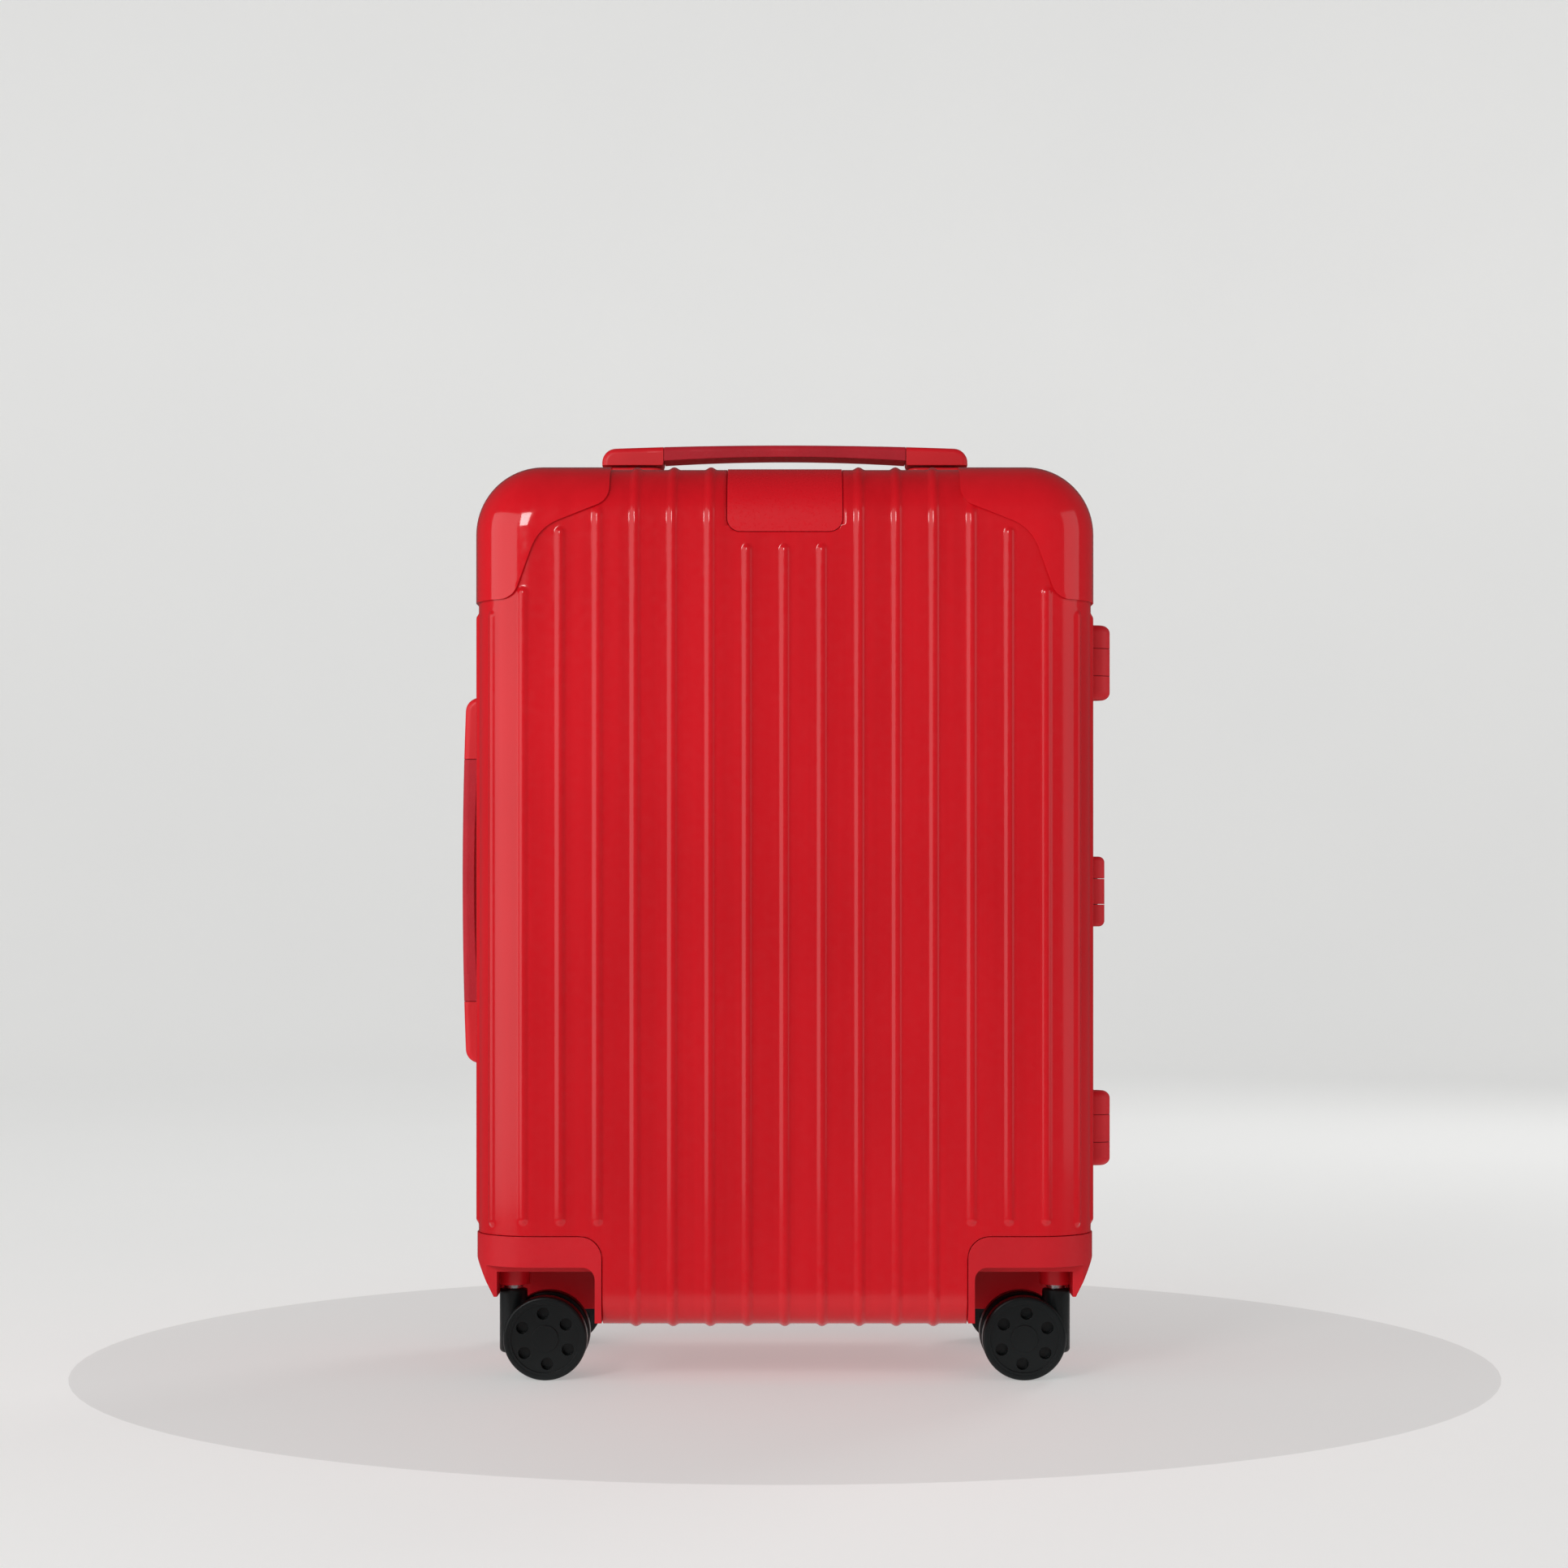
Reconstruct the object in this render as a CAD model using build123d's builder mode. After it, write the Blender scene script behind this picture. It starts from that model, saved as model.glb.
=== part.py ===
from build123d import *

import math
import os

# A cabin-size hard shell suitcase: two ribbed half shells on a side hinge, four spinner casters with
# two wheels each, a telescopic trolley handle, a top and a side carry handle and two combination latches.
# Millimetres. +Z is up, the front faces -Y, and the origin is the middle of the footprint on the floor.
# The halves meet at the plane Y = 0. The rear half carries the trolley, the handles and the strikers.

os.makedirs("parts", exist_ok=True)

# ---- driving dimensions -------------------------------------------------------------------------
HALF_W = 176.0          # half width of the plain skin; ribs, caps and housings stand proud of it
HALF_D = 113.4          # depth of each half's plain skin
BODY_TOP = 522.0
BODY_BOTTOM = 33.4
REACH = 195.0           # how far the hinge feet and the side handle reach from the middle
TOTAL_TOP = 550.0
CREST = 1.5             # how far ribs and corner caps stand proud
CORNER_R = 37.5         # corner radius seen from the front
EDGE_R = 34.0           # rounding between the face and the sides
FLOOR_R = 15.0          # tighter rounding between the face and the floor
WALL = 2.2              # shell thickness
PITCH = 21.15           # rib spacing, measured along the skin
RIB_R = 4.6             # radius of a rib's round back
GAP = 0.3               # visible joint between neighbouring mouldings
CLEAR = 0.4             # room between pieces that move past each other
RUNNING = 0.05          # radial clearance of a pin that turns or slides in its bore

HOUSING_TOP = 84.2      # level at which the wheel housings take over from the shell
HOUSING_X = 103.6       # inner end of a wheel housing
HOUSING_TURN = 12.5         # rounding of its inner top corner
HOUSING_PROUD = 0.8
TAPER_Z = 71.0          # the sides lean in below this level
TAPER = 0.5             # sideways lean for each millimetre down

FLANGE = 3.2            # depth of each frame's rim, which covers the shell's edge
RIM_PROUD = 0.3
SPLIT = 0.15            # half the gap between the closed frames
FRAME_DEEP = 12.0
FRAME_IN = 10.0

SWIVEL_X, SWIVEL_Y = 156.5, 75.0
TRAIL = 19.5
WHEEL_R = 24.0
WHEEL_W = 10.2
WHEEL_IN = 8.8          # from a caster's middle plane to a wheel's inner face
HUB_TOP = 50.8

HINGE_X = 186.0
PIN_R = 2.0
HINGES = ((138.2, 22.4, 9.3), (280.0, 21.0, 6.0), (417.2, 22.4, 9.3))   # level, half height, radius
HANDLE_Y = 22.0
HANDLE_HALF = 110.5
BAR_WIDE = 24.0
PEDESTAL = (74.5, 112.0)            # where the pedestals under a carry handle start and end
SIDE_HANDLE_Z = 286.8
LATCH_Z = (138.0, 419.0)
TUBE_X, TUBE_Y = 85.0, 99.0

BODY_H = BODY_TOP - BODY_BOTTOM
BODY_MID = (BODY_TOP + BODY_BOTTOM) / 2
RIB_SINK = RIB_R - CREST
FLAT_X = HALF_W - EDGE_R            # where the face starts to turn into the side
FLAT_Y = HALF_D - EDGE_R
TAPER_X = HALF_W - (TAPER_Z - BODY_BOTTOM) * TAPER
FAR = 600.0                         # reach of cutting tools that only have to pass the object
WHEEL_X = SWIVEL_X - TRAIL


# ---- helpers ------------------------------------------------------------------------------------
def save(part, name):
    """Labels a finished piece and writes it as its own STEP file."""
    part.label = name
    export_step(part, f"parts/{name}.step")


def group(*parts):
    """Several separate solids as one piece."""
    return Compound([solid for part in parts for solid in part.solids()])


def rear(part):
    """The front half's piece, mirrored to the rear half."""
    return part.mirror(Plane.XZ)


def left(part):
    """The right-hand piece, mirrored to the left."""
    return part.mirror(Plane.YZ)


def block(x, y, z, mode=Mode.ADD):
    """A box in the current part, with each axis given as (low, high)."""
    with Locations([(sum(x) / 2, sum(y) / 2, sum(z) / 2)]):
        Box(x[1] - x[0], y[1] - y[0], z[1] - z[0], mode=mode)


def post(x, y, z, radius, mode=Mode.ADD):
    """An upright cylinder in the current part, with z given as (low, high)."""
    with Locations([(x, y, sum(z) / 2)]):
        Cylinder(radius, z[1] - z[0], mode=mode)


# ---- shapes that several pieces share -----------------------------------------------------------
def half_body(grow):
    """The front half's rounded block, its skin moved outwards by grow."""
    with BuildPart() as body:
        with BuildSketch(Plane.XZ):
            with Locations((0, BODY_MID)):
                RectangleRounded(2 * (HALF_W + grow), BODY_H + 2 * grow, CORNER_R + grow)
        extrude(amount=HALF_D + grow)
        fillet(body.faces().sort_by(Axis.Y)[0].edges(), EDGE_R + grow)
    return body.part


def floor_body(grow, half_x, top=HOUSING_TOP):
    """The block between the wheel housings, with the tight rounding at the floor."""
    deep, low = HALF_D + grow, BODY_BOTTOM - grow
    with BuildPart() as body:
        with BuildSketch(Plane.YZ) as side:
            with Locations((-deep / 2, (low + top) / 2)):
                Rectangle(deep, top - low)
            fillet(side.vertices().group_by(Axis.X)[0].sort_by(Axis.Y)[0], FLOOR_R + grow)
        extrude(amount=half_x, both=True)
    return body.part


def plan_body(grow):
    """The front half's plan outline as an upright prism round the wheel housings."""
    deep = HALF_D + grow
    with BuildPart() as body:
        with BuildSketch() as plan:
            with Locations((0, -deep / 2)):
                Rectangle(2 * (HALF_W + grow), deep)
            fillet(plan.vertices().group_by(Axis.Y)[0], EDGE_R + grow)
        extrude(amount=HOUSING_TOP + 10)
    return body.part


def housing_prism(grow):
    """The space of the right-hand wheel housing as seen from the front, carried past the front."""
    with BuildPart() as prism:
        with BuildSketch(Plane.XZ) as outline:
            with Locations((HOUSING_X - grow, HOUSING_TOP + grow)):
                Rectangle(100, 100, align=(Align.MIN, Align.MAX))
            fillet(outline.vertices().group_by(Axis.X)[0].sort_by(Axis.Y)[-1], HOUSING_TURN + grow)
        extrude(amount=FAR)
    return prism.part


def seam_outline(inset):
    """The outline of the opening as seen from the front, in a flat sketch, moved inwards by inset."""
    with BuildSketch() as outline:
        Polygon(
            (-HALF_W, BODY_TOP),
            (HALF_W, BODY_TOP),
            (HALF_W, TAPER_Z),
            (TAPER_X, BODY_BOTTOM),
            (-TAPER_X, BODY_BOTTOM),
            (-HALF_W, TAPER_Z),
            align=None,
        )
        levels = outline.vertices().group_by(Axis.Y)
        fillet(levels[-1], CORNER_R)
        fillet(outline.vertices().group_by(Axis.Y)[0], 12)
        offset(amount=-inset)
    return outline.sketch


def seam_ring(outer, inner, near, far):
    """A ring along the opening, between two insets and two depths in front of the seam."""
    with BuildPart() as ring:
        with BuildSketch(Plane.XZ.offset(near)):
            add(seam_outline(outer))
            add(seam_outline(inner), mode=Mode.SUBTRACT)
        extrude(amount=far - near)
    return ring.part


def seam_prism(inset):
    """The seam outline carried to the front as a solid."""
    with BuildPart() as prism:
        with BuildSketch(Plane.XZ):
            add(seam_outline(inset))
        extrude(amount=HALF_D + 20)
    return prism.part


def skin_point(along, sink):
    """The plan position (x, y) that lies along the skin from the middle of the face, sunk below it."""
    arc = EDGE_R * math.pi / 2
    if along <= FLAT_X:
        return along, -(HALF_D - sink)
    if along <= FLAT_X + arc:
        turn = (along - FLAT_X) / EDGE_R
        reach = EDGE_R - sink
        return FLAT_X + reach * math.sin(turn), -(FLAT_Y + reach * math.cos(turn))
    return HALF_W - sink, -(FLAT_Y - (along - FLAT_X - arc))


# ---- ribs ---------------------------------------------------------------------------------------
RIB_TOP = BODY_TOP - RIB_SINK
RIB_FACE = -(HALF_D - RIB_SINK)
RIB_FLOOR = BODY_BOTTOM + RIB_SINK
RIB_SEAM = -(FLANGE + RIB_R)
TURN_TOP = EDGE_R - RIB_SINK
TURN_FLOOR = FLOOR_R - RIB_SINK
SHORT_RIB = {5: (94.0, 486.0), 6: (94.0, 482.0), 7: (94.0, 450.0)}      # rank: low and high end
SIDE_RIB = (92.0, 436.0)
SIDE_RANKS = {1: range(8, 13), -1: range(8, 12)}    # ranks round the corner, on the right and the left


def upright_rib(along, low, high):
    """A straight rib with round ends, standing between two levels on the face, the corner or the side."""
    x, y = skin_point(abs(along), RIB_SINK)
    x = math.copysign(x, along)
    with BuildPart() as rib:
        post(x, y, (low, high), RIB_R)
        with Locations((x, y, low), (x, y, high)):
            Sphere(RIB_R)
    return rib.part


def wrapped_rib(x, points, radii):
    """A rib along a path in the plane X = x, through (y, z) points with rounded corners."""
    with BuildPart() as rib:
        with BuildLine(Plane.YZ.offset(x)):
            path = FilletPolyline(*points, radius=radii)
        with BuildSketch(Plane(origin=path @ 0, z_dir=path % 0)):
            Circle(RIB_R)
        sweep(path=path)
        with Locations(path @ 0, path @ 1):
            Sphere(RIB_R)
    return rib.part


def top_rib(k, low, high):
    """A short rib lying along the top, between two depths."""
    with BuildPart() as rib:
        with Locations((k * PITCH, (low + high) / 2, RIB_TOP)):
            Cylinder(RIB_R, high - low, rotation=(90, 0, 0))
        with Locations((k * PITCH, low, RIB_TOP), (k * PITCH, high, RIB_TOP)):
            Sphere(RIB_R)
    return rib.part


def side_ribs():
    """The upright ribs on the outer face, the rounded edges and the sides."""
    ribs = [upright_rib(side * k * PITCH, *SHORT_RIB[k]) for k in SHORT_RIB for side in SIDE_RANKS]
    ribs += [upright_rib(side * k * PITCH, *SIDE_RIB) for side in SIDE_RANKS for k in SIDE_RANKS[side]]
    return ribs


def front_ribs():
    """Ribs of the front half: six wrap from the top to the floor, three stop below the badge."""
    ribs = side_ribs()
    for k in (-4, -3, -2, 2, 3, 4):
        path = [(RIB_SEAM, RIB_TOP), (RIB_FACE, RIB_TOP), (RIB_FACE, RIB_FLOOR), (RIB_SEAM, RIB_FLOOR)]
        ribs.append(wrapped_rib(k * PITCH, path, [TURN_TOP, TURN_FLOOR]))
    for k in (-1, 0, 1):
        path = [(RIB_FACE, 473.0), (RIB_FACE, RIB_FLOOR), (RIB_SEAM, RIB_FLOOR)]
        ribs.append(wrapped_rib(k * PITCH, path, [TURN_FLOOR]))
        ribs.append(top_rib(k, -52.0, RIB_SEAM))
    return ribs


def rear_ribs():
    """Ribs of the rear half, made as a front and mirrored: they stop below the trolley handle."""
    ribs = side_ribs()
    for k in range(-4, 5):
        path = [(RIB_FACE, 462.0), (RIB_FACE, RIB_FLOOR), (RIB_SEAM, RIB_FLOOR)]
        ribs.append(wrapped_rib(k * PITCH, path, [TURN_FLOOR]))
    for k in range(-3, 4):
        ribs.append(top_rib(k, -72.0, RIB_SEAM))
    return ribs


# ---- badge plate, latch openings and handle sleeves ---------------------------------------------
BADGE_HALF, BADGE_LOW, BADGE_DEEP = 32.6, 483.0, 60.0
BADGE_SINK = 1.2
LATCH_HALF, LATCH_SLOT = 23.0, 19.0     # half heights of a latch's face and of its inner box
LATCH_FRONT, LATCH_BACK = -37.5, -4.0
SLEEVE_X, SLEEVE_R, SLEEVE_DEEP = 92.0, 5.2, 18.0


def badge_zone(grow):
    """A tablet over the middle of the top front edge, with its lower corners rounded."""
    top = BODY_TOP + 20
    with BuildPart() as zone:
        with BuildSketch(Plane.XZ.offset(BADGE_DEEP - grow)) as face:
            with Locations((0, (BADGE_LOW - grow + top) / 2)):
                Rectangle(2 * (BADGE_HALF + grow), top - BADGE_LOW + grow)
            fillet(face.vertices().group_by(Axis.Y)[0], 7.5 + grow)
        extrude(amount=FAR)
    return zone.part


def latch_slots(grow):
    """The two openings for the latches' inner boxes in the left side of the front half."""
    with BuildPart() as slots:
        for z in LATCH_Z:
            y = (LATCH_FRONT + 1 - grow, -FRAME_DEEP - GAP + grow)
            block((-REACH, -HALF_W + 16), y, (z - LATCH_SLOT - grow, z + LATCH_SLOT + grow))
    return slots.part


def on_top(part, z):
    """A carry handle's piece, moved from its own origin to the top of the rear half."""
    return Pos(0, HANDLE_Y, z) * part


def on_side(part, x):
    """A carry handle's piece, turned to point out of the left side and moved to it."""
    return Pos(-x, HANDLE_Y, SIDE_HANDLE_Z) * Rot(0, -90, 0) * part


def sleeve_pair(radius):
    """The two guide sleeves below a carry handle, from the skin at Z = 0 down into the case."""
    with BuildPart() as pair:
        for x in (-SLEEVE_X, SLEEVE_X):
            post(x, 0, (-SLEEVE_DEEP, 0), radius)
    return pair.part


# ---- half shells --------------------------------------------------------------------------------
BEZEL_X, BEZEL_Y, BEZEL_Z = 108.0, 82.0, 482.0


def half_shell(ribs):
    """A ribbed half shell behind its frame, open at the seam and at the two bottom corners."""
    past_housing = HOUSING_X + HOUSING_TURN
    outer, inner = half_body(0), half_body(-WALL)
    floor = floor_body(0, past_housing, HOUSING_TOP + 5)
    inner_floor = floor_body(-WALL, past_housing, HOUSING_TOP + 5)
    corner = housing_prism(GAP)
    with BuildPart() as shell:
        add(outer)
        add(floor)
        for rib in ribs:
            add(rib)
        add(inner, mode=Mode.SUBTRACT)
        add(inner_floor, mode=Mode.SUBTRACT)
        add(corner, mode=Mode.SUBTRACT)
        add(left(corner), mode=Mode.SUBTRACT)
        split(bisect_by=Plane.XZ.offset(FLANGE), keep=Keep.TOP)
    return shell.part


below_badge = half_body(-BADGE_SINK)
with BuildPart() as badge_recess:
    add(badge_zone(GAP))
    add(below_badge, mode=Mode.SUBTRACT)

plate_skin = half_body(0.4)
with BuildPart() as badge_plate:
    add(badge_zone(0))
    add(plate_skin, mode=Mode.INTERSECT)
    add(below_badge, mode=Mode.SUBTRACT)
badge_plate.part.label = "badge_plate"
export_step(badge_plate.part, "parts/badge_plate.step")

plain_front = half_shell(front_ribs())
with BuildPart() as front_shell:
    add(plain_front)
    add(badge_recess.part, mode=Mode.SUBTRACT)
    add(latch_slots(0.1), mode=Mode.SUBTRACT)
front_shell.part.label = "front_shell"
export_step(front_shell.part, "parts/front_shell.step")

plain_rear = rear(half_shell(rear_ribs()))
sleeve_holes = sleeve_pair(SLEEVE_R)
with BuildPart() as rear_shell:
    add(plain_rear)
    block((-BEZEL_X, BEZEL_X), (BEZEL_Y, FAR), (BEZEL_Z, FAR), mode=Mode.SUBTRACT)
    add(on_top(sleeve_holes, BODY_TOP), mode=Mode.SUBTRACT)
    add(on_side(sleeve_holes, HALF_W), mode=Mode.SUBTRACT)
rear_shell.part.label = "rear_shell"
export_step(rear_shell.part, "parts/rear_shell.step")


# ---- frames and seal ----------------------------------------------------------------------------
TONGUE = (5.2, 7.2)         # insets of the front frame's tongue
GROOVE = (4.2, 8.2)         # insets of the rear frame's groove
GROOVE_DEEP, TONGUE_LONG, SEAL_TOP = 7.0, 4.6, 5.0


def half_frame():
    """The rim that clasps a half shell's edge, in front of the seam."""
    with BuildPart() as frame:
        add(seam_ring(-RIM_PROUD, FRAME_IN, SPLIT, FLANGE))
        add(seam_ring(WALL, FRAME_IN, FLANGE, FRAME_DEEP))
    return frame.part


plain_frame = half_frame()
with BuildPart() as front_frame:
    add(plain_frame)
    add(seam_ring(*TONGUE, -TONGUE_LONG, SPLIT))
front_frame.part.label = "front_frame"
export_step(front_frame.part, "parts/front_frame.step")

with BuildPart() as rear_frame:
    add(rear(plain_frame))
    add(rear(seam_ring(*GROOVE, 0, GROOVE_DEEP)), mode=Mode.SUBTRACT)
rear_frame.part.label = "rear_frame"
export_step(rear_frame.part, "parts/rear_frame.step")

save(rear(seam_ring(GROOVE[0] + 0.1, GROOVE[1] - 0.1, SEAL_TOP, GROOVE_DEEP)), "rear_seal")


# ---- corner caps --------------------------------------------------------------------------------
CAP_SHARP = ((99.5, 501.0), (139.1, 484.9), (153.9, 445.1))     # corners of the cap's edge, unrounded
cap_outer, cap_inner = half_body(CREST), half_body(0)
with BuildPart() as corner_cap:
    with BuildSketch(Plane.XZ.offset(FLANGE)) as cap_outline:
        Polygon((CAP_SHARP[0][0], FAR), *CAP_SHARP, (FAR, CAP_SHARP[2][1]), (FAR, FAR), align=None)
        inside = cap_outline.vertices().filter_by(lambda v: v.X < HALF_W and v.Y < BODY_TOP).sort_by(Axis.X)
        fillet(inside[0], 11)
        fillet(inside[2], 11)
        fillet(cap_outline.vertices().sort_by_distance((CAP_SHARP[1][0], CAP_SHARP[1][1], 0))[0], 26)
    extrude(amount=FAR)
    add(cap_outer, mode=Mode.INTERSECT)
    add(cap_inner, mode=Mode.SUBTRACT)

save(group(corner_cap.part, left(corner_cap.part)), "front_corner_caps")

plain_rear_cap = rear(corner_cap.part)
with BuildPart() as rear_cap:
    add(plain_rear_cap)
    pedestal_y = (HANDLE_Y - BAR_WIDE / 2 - 1 - GAP, HANDLE_Y + BAR_WIDE / 2 + 1 + GAP)
    block((0, PEDESTAL[1] + GAP), pedestal_y, (BODY_TOP - 1, FAR), mode=Mode.SUBTRACT)
    block((0, BEZEL_X), (BEZEL_Y, FAR), (BEZEL_Z, FAR), mode=Mode.SUBTRACT)
save(group(rear_cap.part, left(rear_cap.part)), "rear_corner_caps")


# ---- wheel housings -----------------------------------------------------------------------------
WELL_X = (107.4, 163.9)
WELL_Y = (-100.0, -26.0)
WELL_TOP = 63.0
BOSS_LOW = 53.4
BOSS_R = 9.5
ARCH_TOP = 66.8
SIDE_LOW = 48.7             # lower edge of the side wall, just above the wheels
HUB_ROOM = 8.8              # room around the caster's hub
LEG_LOW = 35.4              # lower end of the wall between the wheels and the body's floor
SKIN = 2.6
KINGPIN_R, KINGPIN_TOP = 4.0, 74.0

seam_inside, plan_inside = seam_prism(WALL), plan_body(-WALL)
with BuildPart() as housing_hollow:
    add(seam_inside)
    add(plan_inside, mode=Mode.INTERSECT)
    y_around = (WELL_Y[0] - SKIN, WELL_Y[1] + SKIN)
    block((90, FAR), y_around, (0, WELL_TOP + SKIN), mode=Mode.SUBTRACT)
    block((90, FAR), (-FAR, WELL_Y[0] + SKIN), (0, ARCH_TOP + SKIN), mode=Mode.SUBTRACT)
    block((90, WELL_X[0]), (-FAR, y_around[1]), (0, HOUSING_TOP + 10), mode=Mode.SUBTRACT)

seam_outside, plan_outside = seam_prism(-HOUSING_PROUD), plan_body(HOUSING_PROUD)
with BuildPart() as housing:
    add(housing_prism(0))
    split(bisect_by=Plane.XZ.offset(FLANGE), keep=Keep.TOP)
    add(plan_outside, mode=Mode.INTERSECT)
    add(seam_outside, mode=Mode.INTERSECT)
    add(housing_hollow.part, mode=Mode.SUBTRACT)
    block(WELL_X, WELL_Y, (0, WELL_TOP), mode=Mode.SUBTRACT)
    with BuildSketch(Plane.XZ.offset(-WELL_Y[0])) as arch:
        with Locations((WELL_X[0], ARCH_TOP)):
            Rectangle(100, 100, align=(Align.MIN, Align.MAX))
        fillet(arch.vertices().group_by(Axis.X)[0].sort_by(Axis.Y)[-1], 7)
    extrude(amount=FAR, mode=Mode.SUBTRACT)
    post(SWIVEL_X, -SWIVEL_Y, (0, SIDE_LOW), SWIVEL_X - WELL_X[0], mode=Mode.SUBTRACT)
    block((90, WELL_X[0]), (-FAR, WELL_Y[1]), (0, LEG_LOW), mode=Mode.SUBTRACT)
    post(SWIVEL_X, -SWIVEL_Y, (0, WELL_TOP), HUB_ROOM, mode=Mode.SUBTRACT)
    post(SWIVEL_X, -SWIVEL_Y, (BOSS_LOW, KINGPIN_TOP + 2), BOSS_R)
    post(SWIVEL_X, -SWIVEL_Y, (0, FAR), KINGPIN_R, mode=Mode.SUBTRACT)

save(housing.part, "front_right_wheel_housing")
save(left(housing.part), "front_left_wheel_housing")
save(rear(housing.part), "rear_right_wheel_housing")
save(rear(left(housing.part)), "rear_left_wheel_housing")


# ---- linings and packing straps -----------------------------------------------------------------
LINING_OUT, LINING_IN = 2.8, 4.0
LINING_FLOOR = HOUSING_TOP + 2
STRAP_X, STRAP_W, STRAP_T = 38.0, 25.0, 1.2
STRAP_Z = (104.0, 470.0)
BUCKLE_Z = 300.0


def lining_block(inset):
    """The space inside a half, moved inwards from the skin by inset."""
    low = floor_body(-inset, HOUSING_X - inset, LINING_FLOOR + 8)
    with BuildPart() as space:
        add(half_body(-inset))
        split(bisect_by=Plane.XY.offset(LINING_FLOOR + inset - LINING_OUT), keep=Keep.TOP)
        add(low)
    return space.part


def trolley_bulges(grow):
    """Where the rear lining bulges over the trolley's tubes and bezel, in the front half's coordinates."""
    with BuildPart() as bulges:
        for x in (-TUBE_X, TUBE_X):
            block((x - 13 - grow, x + 13 + grow), (-FAR, grow - 90), (0, FAR))
        block((-112 - grow, 112 + grow), (-FAR, grow - 78), (474 - grow, FAR))
    return bulges.part


def half_lining(outside, inside):
    """The fabric skin between two blocks, open at the seam."""
    with BuildPart() as lining:
        add(outside)
        add(inside, mode=Mode.SUBTRACT)
        split(bisect_by=Plane.XZ.offset(FRAME_DEEP + GAP), keep=Keep.TOP)
    return lining.part


lining_skin = half_lining(lining_block(LINING_OUT), lining_block(LINING_IN))
with BuildPart() as front_lining:
    add(lining_skin)
    add(latch_slots(1.5), mode=Mode.SUBTRACT)
front_lining.part.label = "front_lining"
export_step(front_lining.part, "parts/front_lining.step")

with BuildPart() as rear_outside:
    add(lining_block(LINING_OUT))
    add(trolley_bulges(0), mode=Mode.SUBTRACT)
with BuildPart() as rear_inside:
    add(lining_block(LINING_IN))
    add(trolley_bulges(LINING_IN - LINING_OUT), mode=Mode.SUBTRACT)
rear_skin = rear(half_lining(rear_outside.part, rear_inside.part))
lining_holes = sleeve_pair(SLEEVE_R + 1)
with BuildPart() as rear_lining:
    add(rear_skin)
    add(on_top(lining_holes, BODY_TOP), mode=Mode.SUBTRACT)
    add(on_side(lining_holes, HALF_W), mode=Mode.SUBTRACT)
rear_lining.part.label = "rear_lining"
export_step(rear_lining.part, "parts/rear_lining.step")

with BuildPart() as straps:
    strap_y = -(HALF_D - LINING_IN - GAP)
    for x in (-STRAP_X, STRAP_X):
        block((x - STRAP_W / 2, x + STRAP_W / 2), (strap_y, strap_y + STRAP_T), STRAP_Z)
        block((x - 17, x + 17), (strap_y, strap_y + 8), (BUCKLE_Z - 24, BUCKLE_Z + 24))
    fillet(straps.edges().filter_by(Axis.Y).filter_by(lambda e: e.length > 7), 5)
save(straps.part, "front_straps")
save(rear(straps.part), "rear_straps")


# ---- casters ------------------------------------------------------------------------------------
AXLE_R = 2.5
AXLE_IN_WHEEL = 7.0
HUB_R = 8.0
RIM_R = 21.2
HOLE_RING, HOLE_R, HOLE_TURN = 14.4, 3.5, 25.4
FACE_SINK = 0.8
FLANGE_LOW = 52.4           # the kingpin's flange and the race below it

with BuildPart() as kingpin:
    post(SWIVEL_X, -SWIVEL_Y, (26, KINGPIN_TOP), KINGPIN_R)
    post(SWIVEL_X, -SWIVEL_Y, (FLANGE_LOW, BOSS_LOW), 6)

with BuildPart() as race:
    post(SWIVEL_X, -SWIVEL_Y, (HUB_TOP + 0.2, FLANGE_LOW), 5.4)
    post(SWIVEL_X, -SWIVEL_Y, (HUB_TOP, FLANGE_LOW), KINGPIN_R, mode=Mode.SUBTRACT)

with BuildPart() as fork:
    post(SWIVEL_X, -SWIVEL_Y, (14, HUB_TOP), HUB_R)
    rims = fork.edges().filter_by(GeomType.CIRCLE).group_by(Axis.Z)
    fillet(rims[-1], 1.2)
    fillet(rims[0], 2.5)
    with BuildSketch(Plane.XZ.offset(SWIVEL_Y - 4.5)):
        with Locations((WHEEL_X, WHEEL_R)):
            Circle(11)
        with Locations((SWIVEL_X - 2, 30)):
            Rectangle(10, 26)
        make_hull()
    extrude(amount=9)
    with Locations(Location((WHEEL_X, -SWIVEL_Y, WHEEL_R), (90, 0, 0))):
        Cylinder(7, 2 * (WHEEL_IN - GAP))
        Cylinder(AXLE_R, FAR, mode=Mode.SUBTRACT)
    post(SWIVEL_X, -SWIVEL_Y, (25, FAR), KINGPIN_R + RUNNING, mode=Mode.SUBTRACT)

with BuildPart() as axle:
    with Locations(Location((WHEEL_X, -SWIVEL_Y, WHEEL_R), (90, 0, 0))):
        Cylinder(AXLE_R, 2 * (WHEEL_IN + AXLE_IN_WHEEL))


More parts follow.
